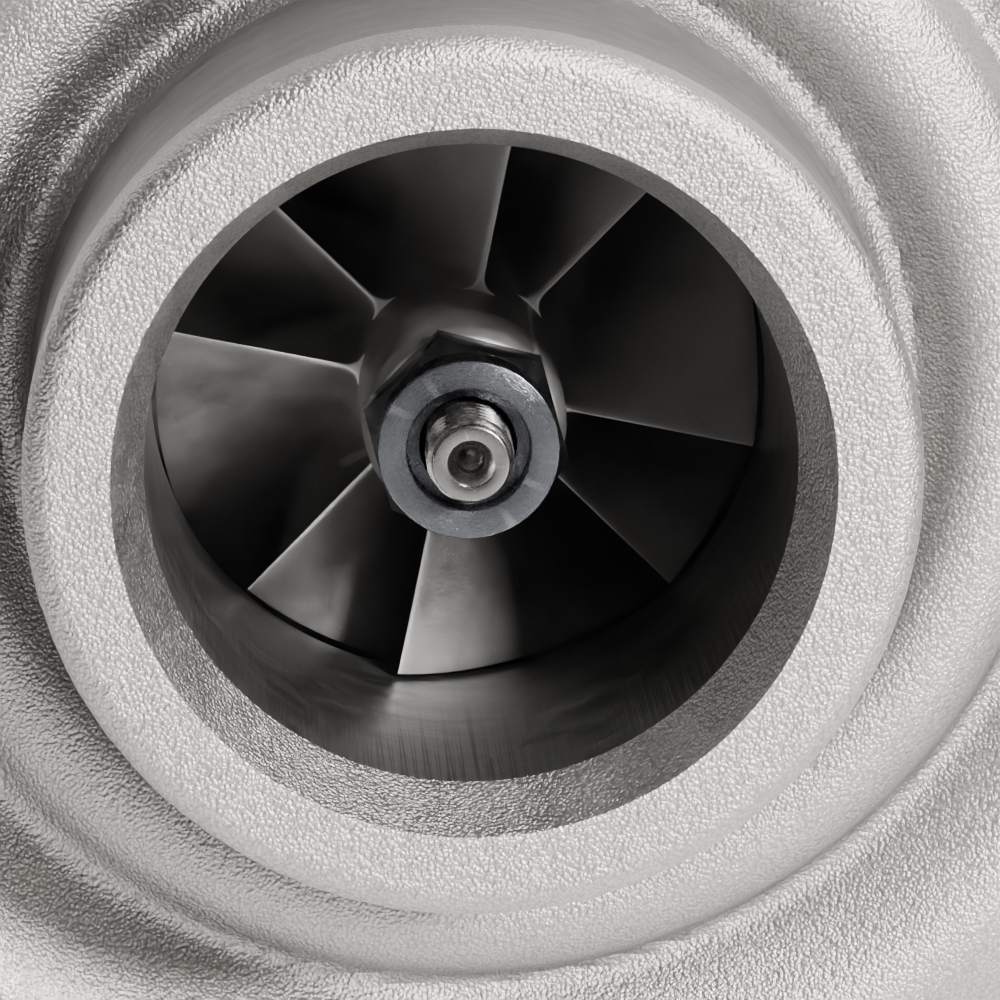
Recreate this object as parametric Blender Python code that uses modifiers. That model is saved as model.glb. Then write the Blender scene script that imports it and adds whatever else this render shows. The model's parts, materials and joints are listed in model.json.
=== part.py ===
"""Small car turbocharger with a wastegate and its boost actuator.

Frame: the origin is the centre of the turbine inlet flange's face, where the
turbocharger hangs on the exhaust manifold. +Z is up, and the rotor's shaft
runs along Y, with the compressor inlet facing -Y and the turbine outlet +Y.
Lengths below are in millimetres and are turned into metres as each mesh is made.
"""
import math

import bmesh
import bpy
from mathutils import Matrix, Vector

MM = 0.001
GAP = 0.3                   # clearance between touching pieces
TAU = 2.0 * math.pi

# Places of the shaft axis and of the sections along it
SHAFT_X = 41.5              # shaft axis from the centre of the turbine inlet flange
SHAFT_Z = 62.0
MOUTH_Y = -108.0            # compressor inlet face
SHAFT = Vector((SHAFT_X, 0.0, SHAFT_Z))

# Compressor wheel
INDUCER_R = 18.0
EXDUCER_R = 25.0
HUB_R = 6.0
LEAD_DEPTH = 25.7           # leading edges of the full blades, behind the inlet face
SPLIT_DEPTH = 28.0
WHEEL_BACK = 43.2
HUB_AXIAL = 16.5
SHROUD_AXIAL = 14.5
FULL_BLADES = 4
LEAD_ANGLE = -11.9          # first full blade's leading edge, from +X towards +Z
NOSE_DEPTH = 15.0

# Compressor cover
MOUTH_R = 20.1
FACE_R = 23.7
BORE_R = 18.35
ENTRY_DEPTH = 5.2
VALLEY_R = 27.4
VALLEY_DEPTH = 25.0
COVER_BACK = 52.0
COVER_RIM_R = 54.0
REGISTER_R = 46.1
REGISTER_DEPTH = 43.5
DIFFUSER_R = 41.0
SCROLL_START = 4.5          # scroll's inside radius at the tongue
SCROLL_END = 12.0
SCROLL_WALL = 2.5
SCROLL_SWEEP = 295.0        # degrees from the tongue to the outlet
SCROLL_INNER_R = 35.0       # inner side of the scroll's passage
SCROLL_BACK = 42.5
OUTLET_TOP = 58.0           # outlet's end above the shaft
OUTLET_BORE_R = 15.0
BOLT_CIRCLE_R = 50.0
BOLT_PAIRS = (196.0, 76.0, -44.0)
BOLT_SPREAD = 17.0
BOSS_R = 6.2
PLATE_SPREAD = 9.0          # clamp plates and bracket foot reach this far past their bolts, in degrees
PLATE_R = (42.0, 55.0)
PLATE_T = 3.2
NIPPLE_ANGLE = 225.0
NIPPLE_Y = MOUTH_Y + 33.0
NIPPLE_BOSS_END = 60.0

# Rotor shaft and its bearings
THREAD_R = 2.5
STUB_R = 3.0
JOURNAL_R = 4.0
RUNNING = 0.08              # radial clearance of the running fits
BEARING_R = 6.4
NUT_FACE_DEPTH = 9.35
NUT_FACE_R = 5.2
NUT_RECESS_R = 3.5
NUT_AF = 10.6
NUT_TURN = 67.0             # turn of the nut's hexagon
SHAFT_END_DEPTH = 6.0
CENTRE_DRILL_R = 1.35

# Centre housing
HOUSING_FRONT = -60.9
HOUSING_END = -15.0
HOUSING_R = 27.0
CLAMP_FLANGE_R = 45.7
PORTS_Y = -41.5             # oil and water ports lie on one plane
WATER_Z = 6.0
WATER_R = 5.2
JOINT_Y = -23.0             # mating plane of the turbine housing
JOINT_FLANGE_R = 35.0
VBAND_ANGLE = 52.0          # where the clamp is split

# Turbine
TURBINE_R = 24.0
TURBINE_EXIT_R = 20.0
TURBINE_BLADES = 10
VOLUTE_START = 6.5
VOLUTE_END = 14.5
VOLUTE_WALL = 3.0
VOLUTE_INNER_R = 27.0
VOLUTE_SWEEP = 295.0
DUCT_SKIN_END = 4.0 - SHAFT_Z
CHAMBER_FLOOR = 18.5
OUTLET_FACE = 42.0
FLANGE_T = 10.0
FLANGE_X = 64.0
FLANGE_Y = 56.0
CHAMBER_U = Vector((-35.0, 0.0, -22.0))     # wastegate end of the outlet chamber

# Wastegate and actuator, from the shaft axis
PORT = Vector((-37.0, 0.0, -22.0))
PORT_R = 8.5
SPINDLE_Y = 24.0
SPINDLE_Z = -35.5
SPINDLE_R = 3.0
LEVER_X = -63.4
LEVER_LENGTH = 16.0
LEVER_LEAN = 15.0           # half of the wastegate's 30 degrees
PIN_R = 2.9
ROD_X = -69.6
ROD_Z = -19.77
ROD_R = 2.5
CAN_R = 18.0
CAN_FRONT = -50.0
CAN_SEAM = -38.0
CAN_BACK = -23.5
STUD_SPREAD = 10.5
PIN_LINE_Y = SPINDLE_Y - LEVER_LENGTH * math.sin(math.radians(LEVER_LEAN))
HOSE_R = 3.7

# Sides of the turned pieces, by size
LARGE = 28
WIDE = 20
MEDIUM = 24
SMALL = 12
TINY = 8

PARTS = "turbocharger"
TOOLS = "turbocharger_cutters"


# ---------------------------------------------------------------- scene and materials

def clear_scene():
    for obj in list(bpy.data.objects):
        bpy.data.objects.remove(obj, do_unlink=True)


def collection(name):
    made = bpy.data.collections.new(name)
    bpy.context.scene.collection.children.link(made)
    return made


MATERIALS = {
    "cast_aluminium": ((0.72, 0.70, 0.68), 0.55, 0.85),
    "machined_aluminium": ((0.62, 0.62, 0.63), 0.30, 1.0),
    "wheel_aluminium": ((0.20, 0.20, 0.21), 0.38, 1.0),
    "cast_iron": ((0.27, 0.25, 0.23), 0.62, 0.75),
    "turbine_iron": ((0.31, 0.27, 0.23), 0.66, 0.75),
    "inconel": ((0.33, 0.30, 0.27), 0.45, 0.95),
    "shaft_steel": ((0.60, 0.60, 0.61), 0.24, 1.0),
    "plated_steel": ((0.70, 0.70, 0.72), 0.20, 1.0),
    "zinc_steel": ((0.66, 0.62, 0.50), 0.32, 1.0),
    "stainless": ((0.58, 0.57, 0.56), 0.30, 1.0),
    "bronze": ((0.66, 0.44, 0.20), 0.30, 1.0),
    "brass": ((0.74, 0.58, 0.27), 0.26, 1.0),
    "rubber": ((0.03, 0.03, 0.03), 0.75, 0.0),
    "spring_steel": ((0.35, 0.35, 0.36), 0.35, 1.0),
}


def material(name):
    found = bpy.data.materials.get(name)
    if found:
        return found
    colour, roughness, metallic = MATERIALS[name]
    made = bpy.data.materials.new(name)
    made.use_nodes = True
    shader = made.node_tree.nodes["Principled BSDF"]
    shader.inputs["Base Color"].default_value = (*colour, 1.0)
    shader.inputs["Roughness"].default_value = roughness
    shader.inputs["Metallic"].default_value = metallic
    made.diffuse_color = (*colour, 1.0)
    return made


def new_object(name, mesh, slot):
    """Put a mesh in the scene as a sub-part, or as a cutter when it has no material."""
    obj = bpy.data.objects.new(name, mesh)
    home = bpy.data.collections[PARTS if slot else TOOLS]
    home.objects.link(obj)
    if slot:
        mesh.materials.append(material(slot))
    else:
        obj.hide_render = True
        obj.display_type = "WIRE"
    return obj


# ---------------------------------------------------------------- shapes

TURN_TO = {
    "X": Matrix.Rotation(math.pi / 2, 4, "Y"),
    "Y": Matrix.Rotation(-math.pi / 2, 4, "X"),
    "Z": Matrix.Identity(4),
}


def arc(centre, radii, start, end, steps):
    """Points of an arc in a profile's plane, from start to end degrees."""
    points = []
    for i in range(steps + 1):
        angle = math.radians(start + (end - start) * i / steps)
        points.append((centre[0] + radii[0] * math.cos(angle), centre[1] + radii[1] * math.sin(angle)))
    return points


def turned(name, profile, slot=None, centre=SHAFT, axis="Y", steps=MEDIUM):
    """A turned solid. profile is a closed ring of (radius, place along the axis)."""
    area = 0.0
    for (r0, h0), (r1, h1) in zip(profile, profile[1:] + profile[:1]):
        area += r0 * h1 - r1 * h0
    ring = list(reversed(profile)) if area > 0.0 else list(profile)
    mesh = bpy.data.meshes.new(name)
    vertices = [(r * MM, 0.0, h * MM) for r, h in ring]
    on_axis = [r < 1e-6 for r, h in ring]
    edges = []
    for i in range(len(ring)):
        j = (i + 1) % len(ring)
        if not (on_axis[i] and on_axis[j]):
            edges.append((i, j))
    mesh.from_pydata(vertices, edges, [])
    obj = new_object(name, mesh, slot)
    obj.matrix_world = Matrix.Translation(centre * MM) @ TURN_TO[axis]
    screw = obj.modifiers.new("turn", "SCREW")
    screw.steps = steps
    screw.render_steps = steps
    screw.use_merge_vertices = True
    screw.merge_threshold = 1e-5
    screw.use_smooth_shade = False
    bake(obj)
    return obj


def bake(obj):
    """Turn the object's modifiers into its mesh."""
    bpy.context.view_layer.update()
    graph = bpy.context.evaluated_depsgraph_get()
    made = bpy.data.meshes.new_from_object(obj.evaluated_get(graph))
    made.name = obj.name
    obj.modifiers.clear()
    obj.data = made


def cylinder(name, radius, start, end, slot=None, centre=SHAFT, axis="Y", steps=SMALL):
    """A cylinder, or a prism when steps is small, between two places along an axis."""
    mesh = bpy.data.meshes.new(name)
    shape = bmesh.new()
    bmesh.ops.create_cone(
        shape, cap_ends=True, segments=steps, radius1=radius * MM, radius2=radius * MM,
        depth=abs(end - start) * MM,
    )
    bmesh.ops.translate(shape, verts=shape.verts, vec=(0.0, 0.0, (start + end) / 2.0 * MM))
    shape.to_mesh(mesh)
    shape.free()
    obj = new_object(name, mesh, slot)
    obj.matrix_world = Matrix.Translation(centre * MM) @ TURN_TO[axis]
    return obj


def block(name, low, high, slot=None, centre=SHAFT):
    """A box between two corners."""
    mesh = bpy.data.meshes.new(name)
    shape = bmesh.new()
    bmesh.ops.create_cube(shape, size=1.0)
    size = [(b - a) * MM for a, b in zip(low, high)]
    bmesh.ops.scale(shape, verts=shape.verts, vec=size)
    middle = [(a + b) / 2.0 * MM for a, b in zip(low, high)]
    bmesh.ops.translate(shape, verts=shape.verts, vec=middle)
    shape.to_mesh(mesh)
    shape.free()
    obj = new_object(name, mesh, slot)
    obj.location = centre * MM
    return obj


def plate(name, outline, thickness, slot=None, centre=SHAFT, turn=None, holes=()):
    """A flat plate cut to an outline, with round holes given as (x, y, radius, steps)."""
    curve = bpy.data.curves.new(name, "CURVE")
    curve.dimensions = "2D"
    curve.fill_mode = "BOTH"
    curve.extrude = thickness / 2.0 * MM
    rings = [outline]
    for x, y, radius, steps in holes:
        rings.append(arc((x, y), (radius, radius), 0.0, 360.0 - 360.0 / steps, steps - 1))
    for ring in rings:
        spline = curve.splines.new("POLY")
        spline.points.add(len(ring) - 1)
        for point, (x, y) in zip(spline.points, ring):
            point.co = (x * MM, y * MM, 0.0, 1.0)
        spline.use_cyclic_u = True
    drawn = bpy.data.objects.new(name + "_outline", curve)
    bpy.data.collections[TOOLS].objects.link(drawn)
    bpy.context.view_layer.update()
    graph = bpy.context.evaluated_depsgraph_get()
    mesh = bpy.data.meshes.new_from_object(drawn.evaluated_get(graph))
    bpy.data.objects.remove(drawn, do_unlink=True)
    weld(mesh)
    mesh.name = name
    mesh.materials.clear()
    obj = new_object(name, mesh, slot)
    obj.matrix_world = Matrix.Translation(centre * MM) @ (turn or Matrix.Identity(4))
    return obj


UPRIGHT = Matrix.Rotation(math.pi / 2, 4, "X")      # plate's x, y become the world's x, z
SIDEWAYS = Matrix.Rotation(math.pi / 2, 4, "Z") @ UPRIGHT   # plate's x, y become y, z


def weld(mesh):
    shape = bmesh.new()
    shape.from_mesh(mesh)
    bmesh.ops.remove_doubles(shape, verts=shape.verts, dist=1e-6)
    bmesh.ops.recalc_face_normals(shape, faces=shape.faces)
    shape.to_mesh(mesh)
    shape.free()


def hull(circles, steps=10):
    """Outline round a set of circles, each (x, y, radius), like a stretched band."""
    cloud = []
    for x, y, radius in circles:
        cloud += arc((x, y), (radius, radius), 0.0, 360.0 - 360.0 / steps, steps - 1)
    cloud = sorted(set((round(x, 6), round(y, 6)) for x, y in cloud))

    def half(points):
        chain = []
        for p in points:
            while len(chain) > 1 and turn_of(chain[-2], chain[-1], p) <= 0.05:
                chain.pop()
            chain.append(p)
        return chain[:-1]

    return half(cloud) + half(list(reversed(cloud)))


def turn_of(a, b, c):
    return (b[0] - a[0]) * (c[1] - a[1]) - (b[1] - a[1]) * (c[0] - a[0])


def wire(name, points, radius, slot, centre=SHAFT):
    """A round bar along a smooth route through the points."""
    curve = bpy.data.curves.new(name, "CURVE")
    curve.dimensions = "3D"
    curve.bevel_depth = radius * MM
    curve.bevel_resolution = 1
    curve.use_fill_caps = True
    spline = curve.splines.new("POLY")
    spline.points.add(len(points) - 1)
    for point, place in zip(spline.points, points):
        point.co = (place[0] * MM, place[1] * MM, place[2] * MM, 1.0)
    drawn = bpy.data.objects.new(name + "_route", curve)
    bpy.data.collections[TOOLS].objects.link(drawn)
    bpy.context.view_layer.update()
    graph = bpy.context.evaluated_depsgraph_get()
    mesh = bpy.data.meshes.new_from_object(drawn.evaluated_get(graph))
    bpy.data.objects.remove(drawn, do_unlink=True)
    weld(mesh)
    mesh.name = name
    mesh.materials.clear()
    obj = new_object(name, mesh, slot)
    obj.location = centre * MM
    return obj


def smooth_route(points, per_leg=5):
    """Catmull-Rom curve through the route's own points."""
    route = [Vector(p) for p in points]
    route = [route[0] * 2 - route[1]] + route + [route[-1] * 2 - route[-2]]
    drawn = []
    for i in range(1, len(route) - 2):
        p0, p1, p2, p3 = route[i - 1:i + 3]
        for k in range(per_leg):
            t = k / per_leg
            drawn.append(0.5 * (
                2 * p1 + (p2 - p0) * t + (2 * p0 - 5 * p1 + 4 * p2 - p3) * t * t
                + (3 * p1 - p0 - 3 * p2 + p3) * t ** 3
            ))
    drawn.append(route[-2])
    return drawn


def loft(name, sections, slot=None, centre=SHAFT):
    """A closed skin over sections that all have the same number of points."""
    mesh = bpy.data.meshes.new(name)
    shape = bmesh.new()
    rings = []
    for section in sections:
        rings.append([shape.verts.new(Vector(p) * MM) for p in section])
    count = len(rings[0])
    for a, b in zip(rings, rings[1:]):
        for i in range(count):
            j = (i + 1) % count
            shape.faces.new((a[i], a[j], b[j], b[i]))
    shape.faces.new(list(reversed(rings[0])))
    shape.faces.new(rings[-1])
    bmesh.ops.recalc_face_normals(shape, faces=shape.faces)
    shape.to_mesh(mesh)
    shape.free()
    obj = new_object(name, mesh, slot)
    obj.location = centre * MM
    return obj


def is_closed(mesh):
    shape = bmesh.new()
    shape.from_mesh(mesh)
    closed = all(edge.is_manifold for edge in shape.edges)
    shape.free()
    return closed


def boolean(obj, tool, operation):
    """Cut the tool from the object or join it on, and clear the tool away.

    The exact solver leaves a few of these castings open, and the manifold one then takes its place.
    """
    before = obj.data
    for solver in ("EXACT", "MANIFOLD"):
        obj.data = before
        step = obj.modifiers.new(operation.lower(), "BOOLEAN")
        step.operation = operation
        step.solver = solver
        step.object = tool
        bake(obj)
        if is_closed(obj.data):
            break
    bpy.data.objects.remove(tool, do_unlink=True)
    return obj


def cut(obj, *tools):
    for tool in tools:
        boolean(obj, tool, "DIFFERENCE")
    return obj


def join(obj, *tools):
    for tool in tools:
        boolean(obj, tool, "UNION")
    return obj


def smooth(obj, degrees=30.0):
    obj.data.shade_smooth()
    obj.data.set_sharp_from_angle(angle=math.radians(degrees))
    return obj


def origin_at(obj, place):
    """Move the object's origin to a place, without moving its shape."""
    shift = Matrix.Translation(place * MM)
    obj.data.transform(shift.inverted() @ obj.matrix_world)
    obj.matrix_world = shift
    return obj


def polar(radius, degrees, y=0.0):
    """A point at an angle round the shaft, from +X towards +Z."""
    angle = math.radians(degrees)
    return Vector((radius * math.cos(angle), y, radius * math.sin(angle)))


def depth(value):
    """Place along the shaft of a depth behind the inlet face."""
    return MOUTH_Y + value


# ---------------------------------------------------------------- compressor

def cover_profile():
    """Turned core of the cover: snout, shoulder, back flange, diffuser wall, shroud and bore."""
    lip = arc((FACE_R - 0.4, depth(1.7)), (1.7, 1.7), -76.0, 0.0, 2)
    root = arc((VALLEY_R, depth(VALLEY_DEPTH - 3.0)), (2.4, 3.0), 180.0, 90.0, 2)
    shoulder = arc((32.2, depth(25.4)), (4.0, 2.9), 208.0, 345.0, 4)
    back = [
        (38.8, depth(27.5)),
        (44.0, depth(27.5)),
        (48.0, depth(40.0)),
        (COVER_RIM_R, depth(45.0)),
        (COVER_RIM_R, depth(COVER_BACK)),
        (0.0, depth(COVER_BACK)),
    ]
    return [(0.0, depth(0.0)), (FACE_R, depth(0.0))] + lip + root + shoulder + back


def cover_room_profile():
    """What the cover leaves open: mouth cone, bore, shroud, diffuser and the backplate's register."""
    over = 2.0
    flare = over * (MOUTH_R - BORE_R) / ENTRY_DEPTH
    mouth = [(0.0, depth(-over)), (MOUTH_R + flare, depth(-over)), (BORE_R, depth(ENTRY_DEPTH))]
    shroud = arc(
        (EXDUCER_R + 0.35, depth(LEAD_DEPTH - 0.35)),
        (INDUCER_R - EXDUCER_R, SHROUD_AXIAL), 0.0, 90.0, 4,
    )
    back = [
        (DIFFUSER_R, depth(LEAD_DEPTH - 0.35 + SHROUD_AXIAL)),
        (DIFFUSER_R, depth(REGISTER_DEPTH)),
        (REGISTER_R, depth(REGISTER_DEPTH)),
        (REGISTER_R, depth(COVER_BACK + over)),
        (0.0, depth(COVER_BACK + over)),
    ]
    return mouth + shroud + back


def scroll_section(angle, radius, ring_r, y, points):
    """Round section across the scroll's passage at an angle round the shaft."""
    section = []
    for i in range(points):
        turn = TAU * i / points
        section.append(polar(ring_r + radius * math.cos(turn), angle, y + radius * math.sin(turn)))
    return section


def compressor_section(share, wall, points=12):
    """Section of the cover's scroll: share 0 at the tongue, 1 at the outlet. Flow turns clockwise."""
    radius = SCROLL_START + (SCROLL_END - SCROLL_START) * share
    ring_r = SCROLL_INNER_R + radius
    angle = -180.0 + SCROLL_SWEEP * (1.0 - share)
    return scroll_section(angle, radius + wall, ring_r, depth(SCROLL_BACK - radius), points)


def scroll_sections(wall, steps=10):
    return [compressor_section(i / steps, wall) for i in range(steps)]


def outlet_sections(radii, wall, points=12):
    """Sections up the outlet pipe, each (height above the shaft, inside radius)."""
    ring_x = -(SCROLL_INNER_R + SCROLL_END)
    sections = []
    for height, radius in radii:
        section = []
        for i in range(points):
            turn = TAU * i / points
            section.append(Vector((
                ring_x - (radius + wall) * math.cos(turn),
                depth(SCROLL_BACK - SCROLL_END) + (radius + wall) * math.sin(turn),
                height,
            )))
        sections.append(section)
    return sections


def compressor_cover():
    cover = turned("compressor_cover", cover_profile(), "cast_aluminium", steps=LARGE)
    pipe = [(0.0, SCROLL_END), (14.0, 12.8), (30.0, 14.2), (44.0, OUTLET_BORE_R)]
    bead = [
        (OUTLET_TOP - 6.0, OUTLET_BORE_R), (OUTLET_TOP - 4.6, OUTLET_BORE_R + 0.9),
        (OUTLET_TOP - 3.0, OUTLET_BORE_R + 0.9), (OUTLET_TOP - 1.6, OUTLET_BORE_R),
        (OUTLET_TOP, OUTLET_BORE_R),
    ]
    join(cover, loft("scroll_skin", scroll_sections(SCROLL_WALL) + outlet_sections(pipe + bead, SCROLL_WALL)))
    for i, angle in enumerate(bolt_angles()):
        spot = SHAFT + polar(BOLT_CIRCLE_R, angle)
        boss = cylinder(f"bolt_boss_{i}", BOSS_R, depth(45.6), depth(COVER_BACK - 0.2), centre=spot)
        join(cover, boss)
    tapping = SHAFT + Vector((0.0, NIPPLE_Y, 0.0))
    boss = cylinder("nipple_boss", 5.2, 46.0, NIPPLE_BOSS_END, centre=tapping, axis="Z", steps=TINY)
    turn_about_shaft(boss, tapping, NIPPLE_ANGLE)
    join(cover, boss)
    through = pipe + [(OUTLET_TOP + 2.0, OUTLET_BORE_R)]
    cut(cover, loft("scroll_passage", scroll_sections(0.0) + outlet_sections(through, 0.0)))
    cut(cover, turned("cover_room", cover_room_profile(), steps=LARGE))
    for i, angle in enumerate(bolt_angles()):
        spot = SHAFT + polar(BOLT_CIRCLE_R, angle)
        hole = cylinder(f"bolt_hole_{i}", 3.0, depth(46.6), depth(COVER_BACK + 2.0), centre=spot, steps=TINY)
        cut(cover, hole)
    hole = cylinder("nipple_hole", 2.3, 40.0, 64.0, centre=tapping, axis="Z", steps=TINY)
    turn_about_shaft(hole, tapping, NIPPLE_ANGLE)
    socket = cylinder("nipple_socket", 3.3, NIPPLE_BOSS_END - 4.4, 64.0, centre=tapping, axis="Z", steps=TINY)
    turn_about_shaft(socket, tapping, NIPPLE_ANGLE)
    cut(cover, hole, socket)
    smooth(cover)
    return cover


def bolt_angles():
    return [middle + side * BOLT_SPREAD for middle in BOLT_PAIRS for side in (-1, 1)]


def turn_about_shaft(obj, centre, degrees):
    """Turn a piece made along +Z so that it points at an angle round the shaft."""
    swing = Matrix.Rotation(math.radians(90.0 - degrees), 4, "Y")
    obj.matrix_world = Matrix.Translation(centre * MM) @ swing


def compressor_backplate():
    profile = [
        (7.1, depth(43.8)), (45.7, depth(43.8)), (45.7, depth(44.5)), (44.0, depth(44.5)),
        (44.0, depth(46.1)), (45.7, depth(46.1)), (45.7, depth(46.8)), (15.8, depth(46.8)),
        (15.8, depth(50.2)), (7.1, depth(50.2)),
    ]
    return smooth(turned("compressor_backplate", profile, "machined_aluminium", steps=WIDE))


def ring(name, inner, outer, start, end, slot, steps=MEDIUM, centre=SHAFT, axis="Y"):
    profile = [(inner, start), (outer, start), (outer, end), (inner, end)]
    return smooth(turned(name, profile, slot, centre=centre, axis=axis, steps=steps))


def backplate_seal():
    profile = arc((45.15, depth(45.3)), (0.65, 0.65), 0.0, 300.0, 5)
    return smooth(turned("backplate_o_ring", profile, "rubber", steps=MEDIUM), 60.0)


def arc_plate(name, middle):
    """Arc-shaped steel plate behind the cover's rim, with a hole for each of a pair of bolts."""
    spread = BOLT_SPREAD + PLATE_SPREAD
    outer = arc((0.0, 0.0), (PLATE_R[1], PLATE_R[1]), middle - spread, middle + spread, 12)
    inner = arc((0.0, 0.0), (PLATE_R[0], PLATE_R[0]), middle + spread, middle - spread, 12)
    holes = []
    for side in (-1, 1):
        spot = polar(BOLT_CIRCLE_R, middle + side * BOLT_SPREAD)
        holes.append((spot.x, spot.z, 3.1, 12))
    return plate(
        name, outer + inner, PLATE_T, "zinc_steel", turn=UPRIGHT, holes=holes,
        centre=SHAFT + Vector((0.0, depth(COVER_BACK) + GAP + PLATE_T / 2.0, 0.0)),
    )


def cover_clamps():
    smooth(arc_plate("cover_clamp_upper", BOLT_PAIRS[1]))
    smooth(arc_plate("cover_clamp_lower", BOLT_PAIRS[2]))


def hex_bolt(name, radius, across, head, start, end, slot, centre, axis="Y"):
    """Bolt along +axis: its shank starts at start, and its head reaches end."""
    bolt = cylinder(name, across / math.sqrt(3.0), end - head, end, slot, centre=centre, axis=axis, steps=6)
    shank = cylinder(name + "_shank", radius, start, end - head / 2.0, centre=centre, axis=axis, steps=TINY)
    join(bolt, shank)
    return smooth(bolt)


def hex_nut(name, across, start, end, hole, centre, axis="Y"):
    """Nut between two places along an axis, with a plain hole."""
    nut = cylinder(name, across / math.sqrt(3.0), start, end, "zinc_steel", centre=centre, axis=axis, steps=6)
    cut(nut, cylinder(name + "_hole", hole, start - 2.0, end + 2.0, centre=centre, axis=axis, steps=TINY))
    return smooth(nut)


def cover_bolts():
    for i, angle in enumerate(bolt_angles()):
        spot = SHAFT + polar(BOLT_CIRCLE_R, angle)
        start = depth(47.0)
        end = depth(COVER_BACK) + GAP + PLATE_T + GAP + 4.2
        hex_bolt(f"cover_bolt_{i + 1}", 2.7, 9.0, 4.2, start, end, "zinc_steel", spot)


def contour(share, span):
    """Radius and depth on the wheel between hub (span 0) and shroud (span 1); share runs inlet to exit."""
    turn = share * math.pi / 2.0
    hub = (EXDUCER_R - (EXDUCER_R - HUB_R) * math.cos(turn), LEAD_DEPTH + HUB_AXIAL * math.sin(turn))
    tip = (EXDUCER_R - (EXDUCER_R - INDUCER_R) * math.cos(turn), LEAD_DEPTH + SHROUD_AXIAL * math.sin(turn))
    return (hub[0] + (tip[0] - hub[0]) * span, hub[1] + (tip[1] - hub[1]) * span)


def wrap_angle(share):
    """How far the blade has turned round the shaft, in degrees."""
    return 55.0 * (1.0 - (1.0 - share) ** 2) + 15.0 * share


def wheel_blade(name, first_angle, first_share, steps):
    """One blade as a thin lofted slab that reaches down into the hub."""
    sections = []
    for i in range(steps + 1):
        share = first_share + (1.0 - first_share) * i / steps
        side = {-1: [], 1: []}
        for span in (-0.12, 0.5, 1.0):
            radius, place = contour(share, span)
            thick = (0.42, 0.36, 0.26)[(-0.12, 0.5, 1.0).index(span)]
            for sign in (-1, 1):
                shift = math.degrees(sign * thick / radius)
                side[sign].append(polar(radius, first_angle + wrap_angle(share) + shift, depth(place)))
        sections.append(side[-1] + list(reversed(side[1])))
    return loft(name, sections)


def compressor_wheel():
    hub = arc((EXDUCER_R, depth(LEAD_DEPTH)), (HUB_R - EXDUCER_R, HUB_AXIAL), 0.0, 90.0, 5)
    profile = [(3.15, depth(NOSE_DEPTH)), (5.3, depth(NOSE_DEPTH)), (5.9, depth(NOSE_DEPTH + 1.0))]
    profile += hub + [(EXDUCER_R, depth(WHEEL_BACK)), (3.15, depth(WHEEL_BACK))]
    wheel = turned("compressor_wheel", profile, "wheel_aluminium", steps=WIDE)
    spacing = 360.0 / FULL_BLADES
    split_share = math.asin((SPLIT_DEPTH - LEAD_DEPTH) / SHROUD_AXIAL) / (math.pi / 2.0)
    for k in range(FULL_BLADES):
        angle = LEAD_ANGLE + k * spacing
        join(wheel, wheel_blade(f"full_blade_{k}", angle, 0.0, 5))
        join(wheel, wheel_blade(f"splitter_blade_{k}", angle + spacing / 2.0, split_share, 5))
    cut(wheel, cylinder("wheel_bore", 3.15, depth(NOSE_DEPTH - 2.0), depth(WHEEL_BACK + 2.0), steps=SMALL))
    smooth(wheel, 25.0)
    return wheel


def compressor_nut():
    front = [
        (NUT_RECESS_R, depth(NUT_FACE_DEPTH)), (NUT_FACE_R - 0.2, depth(NUT_FACE_DEPTH)),
        (NUT_FACE_R, depth(NUT_FACE_DEPTH + 0.2)), (NUT_FACE_R, depth(NUT_FACE_DEPTH + 2.6)),
        (2.8, depth(NUT_FACE_DEPTH + 2.6)), (2.8, depth(NUT_FACE_DEPTH + 2.1)),
        (NUT_RECESS_R, depth(NUT_FACE_DEPTH + 2.1)),
    ]
    nut = turned("compressor_nut", front, "plated_steel", steps=MEDIUM)
    body = cylinder(
        "nut_hexagon", NUT_AF / math.sqrt(3.0), depth(NUT_FACE_DEPTH + 1.5), depth(NOSE_DEPTH - GAP), steps=6,
    )
    body.matrix_world = body.matrix_world @ Matrix.Rotation(math.radians(NUT_TURN), 4, "Z")
    cut(body, cylinder("nut_bore", 2.8, depth(8.0), depth(16.0), steps=MEDIUM))
    join(nut, body)
    return smooth(nut)


# ---------------------------------------------------------------- rotor and centre housing

def rotor_shaft():
    drill = depth(SHAFT_END_DEPTH + 2.0)
    profile = [
        (0.0, drill + 0.8), (CENTRE_DRILL_R * 0.55, drill), (CENTRE_DRILL_R, depth(SHAFT_END_DEPTH)),
        (2.15, depth(SHAFT_END_DEPTH)), (THREAD_R, depth(SHAFT_END_DEPTH + 0.5)),
        (THREAD_R, depth(NOSE_DEPTH - 0.6)), (STUB_R, depth(NOSE_DEPTH)), (STUB_R, -50.6),
        (JOURNAL_R, -50.6), (JOURNAL_R, -20.6), (8.0, -20.6), (8.0, -19.0), (6.6, -19.0),
        (6.6, -17.2), (8.0, -17.2), (8.0, -12.1), (5.0, -12.1), (5.0, -11.9), (0.0, -11.9),
    ]
    return smooth(turned("rotor_shaft", profile, "shaft_steel", steps=MEDIUM))


def turbine_wheel():
    hub = arc((22.0, -10.4 + 15.0), (-16.0, -15.0), 90.0, 0.0, 5)
    profile = [(0.0, -11.6), (22.0, -11.6), *hub, (6.0, 13.0), (3.6, 14.0), (0.0, 14.0)]
    wheel = turned("turbine_wheel", profile, "inconel", steps=MEDIUM)
    for k in range(TURBINE_BLADES):
        join(wheel, turbine_blade(f"turbine_blade_{k}", 360.0 * k / TURBINE_BLADES))
    nut = cylinder("turbine_hexagon", 5.2, 12.0, 17.5, steps=6)
    join(wheel, nut)
    return smooth(wheel, 25.0)


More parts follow.
